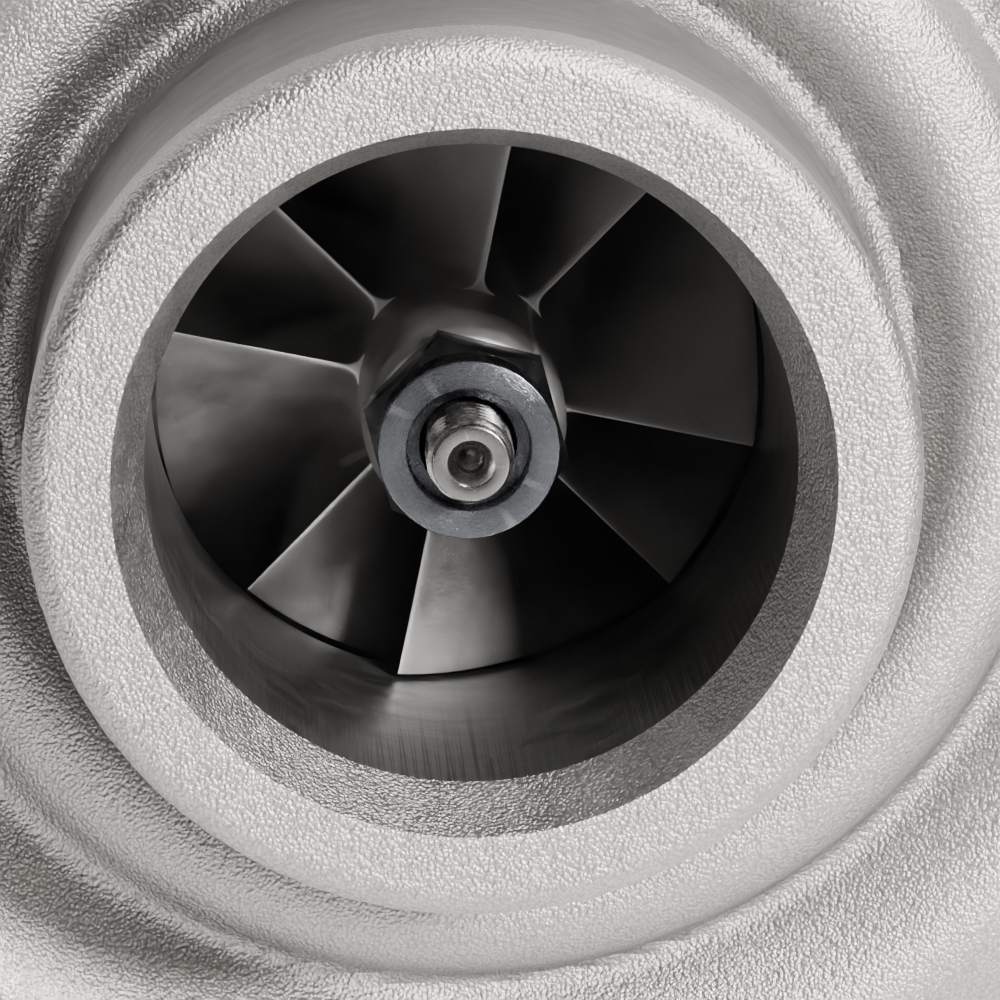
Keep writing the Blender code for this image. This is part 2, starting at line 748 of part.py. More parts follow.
def turbine_blade(name, first_angle):
    """Radial at its inlet, and swept back round the hub towards its exit."""
    sections = []
    steps = 4
    for i in range(steps + 1):
        share = i / steps
        turn = share * math.pi / 2.0
        tip = (TURBINE_R - 4.0 * math.sin(turn), -3.6 + 12.6 * (1.0 - math.cos(turn)))
        root = (20.0 - 15.2 * math.sin(turn), -11.0 + 21.0 * (1.0 - math.cos(turn)))
        swing = -34.0 * share ** 2
        side = {-1: [], 1: []}
        for span, thick in ((0.0, 0.7), (0.5, 0.5), (1.0, 0.35)):
            radius = root[0] + (tip[0] - root[0]) * span
            place = root[1] + (tip[1] - root[1]) * span
            for sign in (-1, 1):
                shift = math.degrees(sign * thick / radius)
                side[sign].append(polar(radius, first_angle + swing * (0.4 + 0.6 * span) + shift, place))
        sections.append(side[-1] + list(reversed(side[1])))
    return loft(name, sections)


def rotor_sleeves():
    flinger = [
        (3.2, depth(43.5)), (6.8, depth(43.5)), (6.8, depth(45.2)), (5.7, depth(45.2)),
        (5.7, depth(47.0)), (6.8, depth(47.0)), (6.8, depth(51.4)), (3.2, depth(51.4)),
    ]
    smooth(turned("oil_flinger", flinger, "shaft_steel", steps=SMALL))
    collar = [
        (3.2, -56.3), (8.6, -56.3), (8.6, -55.4), (5.0, -55.4), (5.0, -52.6), (8.6, -52.6),
        (8.6, -50.9), (3.2, -50.9),
    ]
    smooth(turned("thrust_collar", collar, "shaft_steel", steps=SMALL))
    split_ring("compressor_seal_ring", 6.0, 6.95, depth(45.5), depth(46.7), 24)
    split_ring("turbine_seal_ring", 6.9, 8.25, -18.75, -17.45, 24)


def split_ring(name, inner, outer, start, end, steps):
    """Piston ring: a turned ring with a narrow gap."""
    made = ring(name, inner, outer, start, end, "spring_steel", steps=steps)
    gap = block(name + "_gap", (-0.4, start - 1.0, inner - 2.0), (0.4, end + 1.0, outer + 2.0))
    return cut(made, gap)


def bearings():
    inner = JOURNAL_R + RUNNING
    ring("journal_bearing_compressor", inner, BEARING_R, -49.6, -42.4, "bronze", steps=MEDIUM)
    ring("journal_bearing_turbine", inner, BEARING_R, -29.6, -22.6, "bronze", steps=MEDIUM)
    ring("bearing_spacer", 4.5, 6.1, -42.1, -29.9, "shaft_steel", steps=SMALL)
    ring("oil_deflector", 9.0, 15.8, -57.5, -56.7, "stainless", steps=MEDIUM)
    outline = arc((0.0, 0.0), (15.8, 15.8), 0.0, 345.0, 23)
    bearing = plate(
        "thrust_bearing", outline, 2.3, "bronze", turn=UPRIGHT, holes=((0.0, 0.0, 5.2, 24),),
        centre=SHAFT + Vector((0.0, -54.0, 0.0)),
    )
    cut(bearing, block("thrust_bearing_slot", (-5.2, -58.0, -20.0), (5.2, -50.0, 0.0)))
    smooth(bearing)


def centre_housing():
    """Bearing housing: clamp flange, body, turbine flange and nose, with its oil and water passages."""
    profile = [
        (0.0, HOUSING_FRONT), (CLAMP_FLANGE_R, HOUSING_FRONT), (CLAMP_FLANGE_R, depth(COVER_BACK)),
        (41.0, depth(COVER_BACK)), (37.0, -54.0), (30.0, -53.0), (HOUSING_R - 2.0, -50.0),
        (HOUSING_R - 3.0, -44.0),
        (HOUSING_R - 3.0, -35.0), (HOUSING_R, -30.0), (31.0, -28.0),
        (JOINT_FLANGE_R, JOINT_Y - GAP - 4.0), (JOINT_FLANGE_R, JOINT_Y - GAP), (26.7, JOINT_Y - GAP),
        (26.7, HOUSING_END), (0.0, HOUSING_END),
    ]
    housing = turned("centre_housing", profile, "cast_iron", steps=WIDE)
    top = plate(
        "oil_inlet_pad", hull([(-11.0, PORTS_Y, 6.0), (11.0, PORTS_Y, 6.0), (0.0, PORTS_Y, 9.5)]), 22.0,
        centre=SHAFT + Vector((0.0, 0.0, 26.0)),
    )
    bottom = plate(
        "oil_drain_pad", hull([(-16.0, PORTS_Y, 7.0), (16.0, PORTS_Y, 7.0), (0.0, PORTS_Y, 10.4)]), 24.0,
        centre=SHAFT + Vector((0.0, 0.0, -28.0)),
    )
    join(housing, top, bottom)
    water = SHAFT + Vector((0.0, PORTS_Y, WATER_Z))
    right = cylinder("water_boss_right", 9.0, 12.0, 36.0, centre=water, axis="X")
    left = cylinder("water_boss_left", 9.0, -36.0, -12.0, centre=water, axis="X")
    join(housing, right, left)
    bores = [
        (0.0, HOUSING_FRONT - 2.0), (16.1, HOUSING_FRONT - 2.0), (16.1, -50.6), (BEARING_R + RUNNING, -50.6),
        (BEARING_R + RUNNING, -42.2), (10.0, -41.0), (10.0, -31.0), (BEARING_R + RUNNING, -29.8),
        (BEARING_R + RUNNING, -21.0), (8.35, -21.0), (8.35, HOUSING_END + 2.0), (0.0, HOUSING_END + 2.0),
    ]
    cut(housing, turned("housing_bores", bores, steps=MEDIUM))
    at = SHAFT + Vector((0.0, PORTS_Y, 0.0))
    cut(housing, cylinder("oil_feed", 2.5, 8.0, 40.0, centre=at, axis="Z", steps=TINY))
    cut(housing, cylinder("oil_drain", 8.0, -42.0, -6.0, centre=at, axis="Z", steps=SMALL))
    cut(housing, block("oil_gallery", (-8.0, -55.0, -26.0), (8.0, -36.0, -9.0)))
    for side in (-1, 1):
        low, high = sorted((side * 17.0, side * 40.0))
        cut(housing, cylinder(f"water_port_{side}", WATER_R, low, high, centre=water, axis="X", steps=TINY))
        feed = at + Vector((side * 11.0, 0.0, 0.0))
        cut(housing, cylinder(f"feed_screw_{side}", 2.6, 30.0, 40.0, centre=feed, axis="Z", steps=TINY))
        drain = at + Vector((side * 16.0, 0.0, 0.0))
        cut(housing, cylinder(f"drain_screw_{side}", 3.4, -42.0, -30.0, centre=drain, axis="Z", steps=TINY))
    return smooth(housing)


def heat_shield():
    profile = [
        (9.0, -12.9), (20.0, -12.9), (23.5, -14.1), (27.0, -14.1), (27.0, -14.7), (22.9, -14.7),
        (19.4, -13.5), (9.0, -13.5),
    ]
    return smooth(turned("heat_shield", profile, "stainless", steps=MEDIUM))


# ---------------------------------------------------------------- turbine housing

def turbine_section(share, wall, points=12):
    """Section of the turbine scroll: share 0 at the inlet, 1 at the tongue. Flow turns clockwise."""
    radius = VOLUTE_END + (VOLUTE_START - VOLUTE_END) * share
    return scroll_section(180.0 - VOLUTE_SWEEP * share, radius + wall, VOLUTE_INNER_R + radius, 0.0, points)


def duct_section(height, radius, points=12):
    """Level section of the inlet duct at a height from the shaft."""
    section = []
    for i in range(points):
        turn = TAU * i / points
        section.append(Vector((
            -(VOLUTE_INNER_R + VOLUTE_END) - radius * math.cos(turn), radius * math.sin(turn), height,
        )))
    return section


def volute_sections(duct_end, wall, steps=9):
    """From the inlet duct's end, up the duct and round the scroll to its tongue."""
    duct = [duct_section(duct_end, VOLUTE_END + wall), duct_section(-24.0, VOLUTE_END + wall)]
    return duct + [turbine_section(i / steps, wall) for i in range(steps + 1)]


def chamber_outline(grow):
    return hull([(0.0, 0.0, 23.0 + grow), (CHAMBER_U.x, CHAMBER_U.z, 18.0 + grow)], 20)


def stud_places():
    """Four studs round the outlet chamber, from the shaft axis."""
    along = CHAMBER_U.normalized()
    across = Vector((-along.z, 0.0, along.x))
    return [
        along * -18.0 + across * 28.0, along * -18.0 - across * 28.0,
        along * 46.0 + across * 26.5, along * 46.0 - across * 26.5,
    ]


def turbine_housing():
    profile = [
        (0.0, JOINT_Y), (JOINT_FLANGE_R, JOINT_Y), (JOINT_FLANGE_R, JOINT_Y + 3.2), (31.0, JOINT_Y + 5.5),
        (31.0, 14.6), (0.0, 14.6),
    ]
    housing = turned("turbine_housing", profile, "turbine_iron", steps=WIDE)
    join(housing, loft("volute_skin", volute_sections(DUCT_SKIN_END, VOLUTE_WALL)))
    low = 8.0
    high = OUTLET_FACE - 2.0
    chamber = plate(
        "chamber_skin", chamber_outline(3.5), high - low, turn=UPRIGHT,
        centre=SHAFT + Vector((0.0, (low + high) / 2.0, 0.0)),
    )
    join(housing, chamber)
    corners = [(p.x, p.z, 7.5) for p in stud_places()]
    flange = plate(
        "outlet_flange", hull(corners, 10), 7.0, turn=UPRIGHT,
        centre=SHAFT + Vector((0.0, OUTLET_FACE - 3.5, 0.0)),
    )
    join(housing, flange)
    corner_x = FLANGE_X / 2.0 - 8.0
    corner_y = FLANGE_Y / 2.0 - 8.0
    corners = [(sx * corner_x, sy * corner_y, 8.0) for sx in (-1, 1) for sy in (-1, 1)]
    foot = plate("inlet_flange", hull(corners, 10), FLANGE_T, centre=Vector((0.0, 0.0, FLANGE_T / 2.0)))
    join(housing, foot)
    spindle = SHAFT + Vector((0.0, SPINDLE_Y, SPINDLE_Z))
    join(housing, cylinder("bush_boss", 8.5, -58.0, -48.6, centre=spindle, axis="X", steps=16))
    cut(housing, loft("volute_passage", volute_sections(-SHAFT_Z - 2.0, 0.0)))
    room = [
        (0.0, JOINT_Y - 2.0), (27.4, JOINT_Y - 2.0), (27.4, -11.4), (VOLUTE_INNER_R + 5.0, -10.4),
        (VOLUTE_INNER_R + 5.0, -3.4), (TURBINE_R + 0.5, -3.3),
        *arc((TURBINE_R + 0.5, 9.0), (-4.0, -12.2), 90.0, 0.0, 5)[1:],
        (TURBINE_EXIT_R + 0.5, CHAMBER_FLOOR + 3.0), (0.0, CHAMBER_FLOOR + 3.0),
    ]
    cut(housing, turned("wheel_room", room, steps=WIDE))
    hollow = plate(
        "chamber_hollow", chamber_outline(0.0), OUTLET_FACE - CHAMBER_FLOOR + 4.0, turn=UPRIGHT,
        centre=SHAFT + Vector((0.0, (OUTLET_FACE + CHAMBER_FLOOR) / 2.0 + 2.0, 0.0)),
    )
    cut(housing, hollow)
    cut(housing, cylinder("wastegate_port", PORT_R, 6.0, CHAMBER_FLOOR + 2.0, centre=SHAFT + PORT))
    cut(housing, cylinder("bush_hole", 5.8, -62.0, -36.0, centre=spindle, axis="X", steps=SMALL))
    for i, place in enumerate(stud_places()):
        spot = SHAFT + place
        cut(housing, cylinder(f"stud_hole_{i}", 4.3, 30.0, OUTLET_FACE + 2.0, centre=spot, steps=TINY))
    for sx in (-1, 1):
        for sy in (-1, 1):
            spot = Vector((sx * (corner_x - 1.0), sy * (corner_y - 1.0), 0.0))
            name = f"flange_hole_{sx}_{sy}"
            cut(housing, cylinder(name, 4.4, -2.0, FLANGE_T + 2.0, centre=spot, axis="Z", steps=TINY))
    return smooth(housing)


def outlet_studs():
    for i, place in enumerate(stud_places()):
        profile = [
            (0.0, OUTLET_FACE - 10.0), (3.6, OUTLET_FACE - 10.0), (4.0, OUTLET_FACE - 9.5),
            (4.0, OUTLET_FACE + 17.0), (3.4, OUTLET_FACE + 17.8), (0.0, OUTLET_FACE + 17.8),
        ]
        smooth(turned(f"outlet_stud_{i + 1}", profile, "zinc_steel", centre=SHAFT + place, steps=TINY))


def vband():
    """Channel ring over the two joined flanges, split at the top right between two lugs."""
    low = JOINT_Y - GAP - 4.0
    high = JOINT_Y + 3.2
    profile = [
        (32.8, low - 1.9), (35.4, low - 0.35), (35.4, high + 0.35), (33.2, high + 1.4), (34.2, high + 2.4),
        (37.0, high + 1.0), (37.0, low - 1.0), (33.8, low - 2.9),
    ]
    band = turned("vband_clamp", profile, "stainless", steps=WIDE)
    middle = (low + high) / 2.0
    lugs = block("vband_lugs", (-9.0, middle - 4.0, 36.2), (9.0, middle + 4.0, 47.0))
    split = block("vband_split", (-3.0, low - 5.0, 30.0), (3.0, high + 5.0, 50.0))
    for piece in (lugs, split):
        turn_about_shaft(piece, SHAFT, VBAND_ANGLE)
    join(band, lugs)
    cut(band, split)
    at = SHAFT + polar(41.8, VBAND_ANGLE, middle)
    along = Matrix.Rotation(math.radians(90.0 - VBAND_ANGLE), 4, "Y") @ TURN_TO["X"]
    hole = cylinder("vband_hole", 3.1, -12.0, 12.0, axis="X", steps=TINY)
    hole.matrix_world = Matrix.Translation(at * MM) @ along
    cut(band, hole)
    smooth(band)
    bolt = hex_bolt("vband_bolt", 2.7, 9.0, 4.0, -17.0, 9.0 + GAP + 4.0, "zinc_steel", SHAFT, axis="X")
    bolt.matrix_world = Matrix.Translation(at * MM) @ along
    nut = hex_nut("vband_nut", 9.5, -9.0 - GAP - 5.0, -9.0 - GAP, 3.0, SHAFT, axis="X")
    nut.matrix_world = Matrix.Translation(at * MM) @ along


# ---------------------------------------------------------------- wastegate

def wastegate():
    spindle = SHAFT + Vector((0.0, SPINDLE_Y, SPINDLE_Z))
    ring("wastegate_bush", SPINDLE_R + RUNNING, 5.5, -61.0, -45.6, "bronze", centre=spindle, axis="X")
    arm = cylinder(
        "wastegate_arm", SPINDLE_R, -67.0, -32.0, "inconel", centre=spindle, axis="X", steps=MEDIUM,
    )
    tongue = plate(
        "arm_tongue", hull([(PORT.x, SPINDLE_Z, 3.6), (PORT.x, PORT.z, 6.4)], 20), 2.8, turn=UPRIGHT,
        centre=SHAFT + Vector((0.0, SPINDLE_Y, 0.0)),
    )
    join(arm, tongue)
    cut(arm, cylinder("arm_eye", 3.3, SPINDLE_Y - 4.0, SPINDLE_Y + 4.0, centre=SHAFT + PORT, steps=SMALL))
    origin_at(smooth(arm), spindle)
    seat = CHAMBER_FLOOR + GAP
    profile = [
        (0.0, seat), (10.2, seat), (10.6, seat + 0.4), (10.6, seat + 2.6), (9.8, seat + 3.2),
        (5.0, seat + 3.2), (3.0, seat + 3.6), (3.0, SPINDLE_Y + 3.2), (4.2, SPINDLE_Y + 3.2),
        (4.2, SPINDLE_Y + 4.2), (3.2, SPINDLE_Y + 4.8), (0.0, SPINDLE_Y + 4.8),
    ]
    flap = turned("wastegate_flap", profile, "inconel", centre=SHAFT + PORT, steps=SMALL)
    origin_at(smooth(flap), spindle)
    washer = ring(
        "flap_washer", 3.3, 5.8, SPINDLE_Y + 1.7, SPINDLE_Y + 2.9, "stainless",
        centre=SHAFT + PORT, steps=SMALL,
    )
    origin_at(washer, spindle)
    lean = math.radians(LEVER_LEAN)
    pin_y = SPINDLE_Y - LEVER_LENGTH * math.sin(lean)
    pin_z = SPINDLE_Z + LEVER_LENGTH * math.cos(lean)
    lever = plate(
        "wastegate_lever", hull([(SPINDLE_Y, SPINDLE_Z, 7.0), (pin_y, pin_z, 5.6)], 24), 3.0, "stainless",
        turn=SIDEWAYS, centre=SHAFT + Vector((LEVER_X, 0.0, 0.0)),
        holes=((SPINDLE_Y, SPINDLE_Z, SPINDLE_R + GAP, 24), (pin_y, pin_z, PIN_R + GAP, 20)),
    )
    origin_at(smooth(lever), spindle)
    pin_at = SHAFT + Vector((0.0, pin_y, pin_z))
    profile = [
        (0.0, -76.0), (2.3, -76.0), (PIN_R, -75.6), (PIN_R, -61.4), (4.4, -61.4), (4.4, -60.4),
        (0.0, -60.4),
    ]
    pin = turned("lever_pin", profile, "shaft_steel", centre=pin_at, axis="X", steps=SMALL)
    origin_at(smooth(pin), spindle)
    clip = ring(
        "pin_clip", PIN_R + 0.15, 5.0, -75.0, -74.3, "spring_steel", centre=pin_at, axis="X", steps=SMALL,
    )
    mouth = block("pin_clip_mouth", (-76.0, -1.6, 0.0), (-73.0, 1.6, 7.0), centre=pin_at)
    cut(clip, mouth)
    origin_at(clip, spindle)


# ---------------------------------------------------------------- actuator

def actuator():
    at = SHAFT + Vector((ROD_X, 0.0, ROD_Z))
    body = [
        (4.2, CAN_BACK), (CAN_R - 4.0, CAN_BACK), (CAN_R - 2.0, CAN_BACK - 2.0),
        (CAN_R - 1.0, CAN_SEAM + 1.5),
        (CAN_R + 1.6, CAN_SEAM + 1.5), (CAN_R + 1.6, CAN_SEAM + 0.7), (CAN_R - 1.9, CAN_SEAM + 0.7),
        (CAN_R - 2.8, CAN_BACK - 2.4), (CAN_R - 4.4, CAN_BACK - 0.8), (4.2, CAN_BACK - 0.8),
    ]
    can = turned("actuator_can", body, "zinc_steel", centre=at, steps=WIDE)
    for i, side in enumerate((-1, 1)):
        spot = at + Vector((0.0, 0.0, side * STUD_SPREAD))
        join(can, cylinder(f"can_stud_{i}", 2.4, CAN_BACK - 0.5, CAN_BACK + 8.5, centre=spot, steps=TINY))
    smooth(can)
    cap = [
        (0.0, CAN_FRONT), (CAN_R - 6.0, CAN_FRONT), (CAN_R - 2.5, CAN_FRONT + 2.5),
        (CAN_R - 1.0, CAN_SEAM - 1.4), (CAN_R + 1.6, CAN_SEAM - 1.4), (CAN_R + 1.6, CAN_SEAM - 0.6),
        (CAN_R - 1.9, CAN_SEAM - 0.6), (CAN_R - 3.4, CAN_FRONT + 3.0), (CAN_R - 6.4, CAN_FRONT + 0.9),
        (0.0, CAN_FRONT + 0.9),
    ]
    cover = turned("actuator_cap", cap, "zinc_steel", centre=at, steps=WIDE)
    cut(cover, cylinder("cap_hole", 3.4, CAN_FRONT - 2.0, CAN_FRONT + 3.0, centre=at, steps=TINY))
    smooth(cover)
    skin = [
        (2.9, CAN_SEAM - 6.4), (9.5, CAN_SEAM - 6.4), (12.4, CAN_SEAM - 1.5), (13.8, CAN_SEAM - 0.3),
        (CAN_R + 1.4, CAN_SEAM - 0.3), (CAN_R + 1.4, CAN_SEAM + 0.4), (13.4, CAN_SEAM + 0.4),
        (11.6, CAN_SEAM - 1.2), (9.2, CAN_SEAM - 5.6), (2.9, CAN_SEAM - 5.6),
    ]
    smooth(turned("actuator_diaphragm", skin, "rubber", centre=at, steps=WIDE))
    top = CAN_SEAM - 5.3
    cup = [
        (2.9, top), (8.8, top), (8.8, top + 1.0), (2.9, top + 1.0),
    ]
    smooth(turned("actuator_piston", cup, "zinc_steel", centre=at, steps=SMALL))
    coil = []
    turns = 3.0
    low = top + 1.0 + GAP + 0.9
    high = CAN_BACK - 0.8 - GAP - 0.9
    count = 36
    for i in range(count + 1):
        share = i / count
        angle = TAU * turns * share
        coil.append((7.4 * math.cos(angle), low + (high - low) * share, 7.4 * math.sin(angle)))
    smooth(wire("actuator_spring", coil, 0.8, "spring_steel", centre=at), 60.0)
    rod_tip = PIN_LINE_Y - 8.0
    shape = [
        (0.0, top - 2.8), (4.4, top - 2.8), (4.4, top - 1.4), (2.5, top - 1.4),
        (ROD_R, rod_tip - 0.5), (ROD_R - 0.5, rod_tip), (0.0, rod_tip),
    ]
    smooth(turned("actuator_rod", shape, "plated_steel", centre=at, steps=SMALL))
    hex_nut("rod_locknut", 8.0, rod_tip - 14.5, rod_tip - 10.6, ROD_R + GAP, at)
    eye_at = SHAFT + Vector((ROD_X, PIN_LINE_Y, ROD_Z))
    eye = cylinder("rod_end", 6.2, -2.4, 2.4, "plated_steel", centre=eye_at, axis="X", steps=SMALL)
    neck = cylinder("rod_end_neck", 4.2, rod_tip - 10.3, PIN_LINE_Y - 3.0, centre=at, steps=SMALL)
    join(eye, neck)
    cut(eye, cylinder("rod_end_eye", PIN_R + 0.45, -6.0, 6.0, centre=eye_at, axis="X", steps=SMALL))
    cut(eye, cylinder("rod_end_socket", ROD_R + GAP, rod_tip - 14.0, rod_tip + GAP, centre=at, steps=TINY))
    smooth(eye)
    bracket(at)
    for i, side in enumerate((-1, 1)):
        spot = at + Vector((0.0, 0.0, side * STUD_SPREAD))
        start = CAN_BACK + GAP + 2.5 + GAP
        hex_nut(f"bracket_nut_{i + 1}", 7.5, start, start + 4.0, 2.7, spot)


def bracket(at):
    """Steel bracket: foot under two cover bolts, leg along the can, and a face for the can's studs."""
    middle = BOLT_PAIRS[0]
    made = arc_plate("actuator_bracket", middle)
    foot_y = depth(COVER_BACK) + GAP + PLATE_T / 2.0
    face_y = CAN_BACK + GAP
    leg_out = polar(50.5, middle)
    leg_in = polar(47.5, middle)
    leg = plate(
        "bracket_leg", leg_outline(leg_in, leg_out, 13.0), face_y + 2.5 - foot_y, turn=UPRIGHT,
        centre=SHAFT + Vector((0.0, (face_y + 2.5 + foot_y) / 2.0, 0.0)),
    )
    join(made, leg)
    near = polar(49.0, middle)
    outline = hull([
        (near.x + 1.0, near.z + 7.0, 3.5), (near.x + 1.0, near.z - 7.0, 3.5),
        (ROD_X, ROD_Z + STUD_SPREAD, 6.0), (ROD_X, ROD_Z - STUD_SPREAD, 6.0),
    ], 20)
    face = plate(
        "bracket_face", outline, 2.5, turn=UPRIGHT, centre=SHAFT + Vector((0.0, face_y + 1.25, 0.0)),
    )
    join(made, face)
    cut(made, cylinder("bracket_rod_hole", 5.0, face_y - 3.0, face_y + 6.0, centre=at, steps=SMALL))
    for i, side in enumerate((-1, 1)):
        spot = at + Vector((0.0, 0.0, side * STUD_SPREAD))
        hole = cylinder(f"bracket_stud_hole_{i}", 2.8, face_y - 3.0, face_y + 6.0, centre=spot, steps=TINY)
        cut(made, hole)
    smooth(made)
    return made


def leg_outline(inner, outer, width):
    """Cross-section of the bracket's leg, square to the radius that it stands on."""
    across = Vector((-outer.z, 0.0, outer.x)).normalized() * (width / 2.0)
    corners = [inner - across, outer - across, outer + across, inner + across]
    return [(p.x, p.z) for p in corners]


def nipple_profile(root, face, tip):
    """Barbed hose nipple: shank from its root, a flange that sits on a face, and a barbed tube to its tip."""
    way = 1.0 if tip > root else -1.0
    return [
        (1.4, root), (3.0, root), (3.0, face), (4.2, face), (4.2, face + way * 1.6),
        (2.3, face + way * 1.6), (2.3, tip - way * 2.4), (2.6, tip - way * 2.2), (2.1, tip), (1.4, tip),
    ]


def boost_line():
    at = SHAFT + Vector((ROD_X, 0.0, ROD_Z))
    profile = nipple_profile(CAN_FRONT + 2.2, CAN_FRONT - GAP, CAN_FRONT - 12.0)
    smooth(turned("actuator_nipple", profile, "brass", centre=at, steps=TINY))
    tapping = SHAFT + Vector((0.0, NIPPLE_Y, 0.0))
    profile = nipple_profile(56.2, NIPPLE_BOSS_END + GAP, 72.5)
    other = turned("cover_nipple", profile, "brass", centre=tapping, axis="Z", steps=TINY)
    turn_about_shaft(other, tapping, NIPPLE_ANGLE)
    smooth(other)
    outward = polar(1.0, NIPPLE_ANGLE)
    end = Vector((0.0, NIPPLE_Y, 0.0)) + outward * 64.4
    start = Vector((ROD_X, CAN_FRONT - 3.8, ROD_Z))
    route = smooth_route([
        start, start + Vector((0.0, -10.0, 0.0)), (-71.5, -74.5, -23.5), (-77.0, -79.5, -35.0),
        (-78.0, -78.5, -50.0), (-72.0, -76.5, -61.5), (-62.5, NIPPLE_Y - 0.4, -62.0),
        end + outward * 10.0, end,
    ], 3)
    hose = wire("boost_hose", route, HOSE_R, "rubber")
    sockets = [cylinder("hose_socket_start", 2.95, CAN_FRONT - 13.0, CAN_FRONT - 2.0, centre=at, steps=TINY)]
    far = cylinder("hose_socket_end", 2.95, 60.0, 73.6, centre=tapping, axis="Z", steps=TINY)
    turn_about_shaft(far, tapping, NIPPLE_ANGLE)
    cut(hose, sockets[0], far)
    smooth(hose, 60.0)
    ring("hose_clip_1", 4.0, 4.9, CAN_FRONT - 9.5, CAN_FRONT - 5.5, "spring_steel", centre=at, steps=SMALL)
    clip = ring("hose_clip_2", 4.0, 4.9, 66.0, 70.0, "spring_steel", centre=tapping, axis="Z", steps=SMALL)
    turn_about_shaft(clip, tapping, NIPPLE_ANGLE)


def main():
    clear_scene()
    collection(PARTS)
    collection(TOOLS)
    compressor_cover()
    compressor_backplate()
    backplate_seal()
    cover_clamps()
    cover_bolts()
    compressor_wheel()
    compressor_nut()
    rotor_shaft()
    turbine_wheel()
    rotor_sleeves()
    bearings()
    centre_housing()
    heat_shield()
    turbine_housing()
    outlet_studs()
    vband()
    wastegate()
    actuator()
    boost_line()


main()
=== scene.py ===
"""Looks of the small car turbocharger: fine meshes, finishes, light, floor and camera.

Lengths are in millimetres from the shaft axis unless a comment says otherwise, and are
turned into metres as each mesh is made. The shaft runs along Y, the compressor inlet faces -Y.
"""
import json
import math

import bmesh
import bpy
import numpy as np
from mathutils import Matrix, Vector


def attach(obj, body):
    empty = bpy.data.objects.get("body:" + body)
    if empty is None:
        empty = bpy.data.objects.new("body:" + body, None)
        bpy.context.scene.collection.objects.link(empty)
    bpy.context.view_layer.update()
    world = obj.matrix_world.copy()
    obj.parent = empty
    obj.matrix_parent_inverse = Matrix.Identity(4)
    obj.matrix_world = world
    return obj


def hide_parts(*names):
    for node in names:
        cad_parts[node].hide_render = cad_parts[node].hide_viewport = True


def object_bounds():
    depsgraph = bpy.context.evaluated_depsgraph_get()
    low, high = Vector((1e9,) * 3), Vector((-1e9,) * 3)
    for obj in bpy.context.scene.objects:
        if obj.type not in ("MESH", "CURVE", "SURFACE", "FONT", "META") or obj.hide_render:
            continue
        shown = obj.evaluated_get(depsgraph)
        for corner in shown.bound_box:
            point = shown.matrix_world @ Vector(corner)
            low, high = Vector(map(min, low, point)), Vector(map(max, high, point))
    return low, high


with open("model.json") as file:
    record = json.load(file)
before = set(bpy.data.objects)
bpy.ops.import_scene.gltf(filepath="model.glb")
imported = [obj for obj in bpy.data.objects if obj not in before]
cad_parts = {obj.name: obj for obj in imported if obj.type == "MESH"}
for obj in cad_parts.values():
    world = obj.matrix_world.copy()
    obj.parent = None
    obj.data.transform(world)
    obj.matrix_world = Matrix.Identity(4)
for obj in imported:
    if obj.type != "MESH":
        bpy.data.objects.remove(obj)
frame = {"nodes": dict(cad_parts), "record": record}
CAD_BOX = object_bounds()

MM = 0.001
TAU = 2.0 * math.pi
GAP = 0.3
TINY = 1e-6
FLAT = 0.99     # a face whose normal has this much of an axis lies square to it
SHAFT = Vector((41.5, 0.0, 62.0))
MOUTH_Y = -108.0
CAD = frame["nodes"]
BODY_OF = {n: b for b, names in frame["record"]["behaviour"]["bodies"].items() for n in names}
SLOT_OF = {node: obj.data.materials[0].name for node, obj in CAD.items()}


def depth(value):
    """Place along the shaft of a depth behind the inlet face."""
    return MOUTH_Y + value


def deep(points):
    """Profile points given as (radius, depth behind the inlet face)."""
    return [(r, depth(d)) for r, d in points]


def circle(count):
    """Cosine and sine of places spaced evenly round a circle."""
    return [(math.cos(TAU * k / count), math.sin(TAU * k / count)) for k in range(count)]


def off_axis(point):
    """Distance from the shaft's axis."""
    return math.hypot(point.x, point.z)


def polar(radius, degrees, y=0.0):
    """A point at an angle round the shaft, from +X towards +Z."""
    angle = math.radians(degrees)
    return Vector((radius * math.cos(angle), y, radius * math.sin(angle)))


# ---------------------------------------------------------------- finishes

MARK_STRETCH = 0.0006


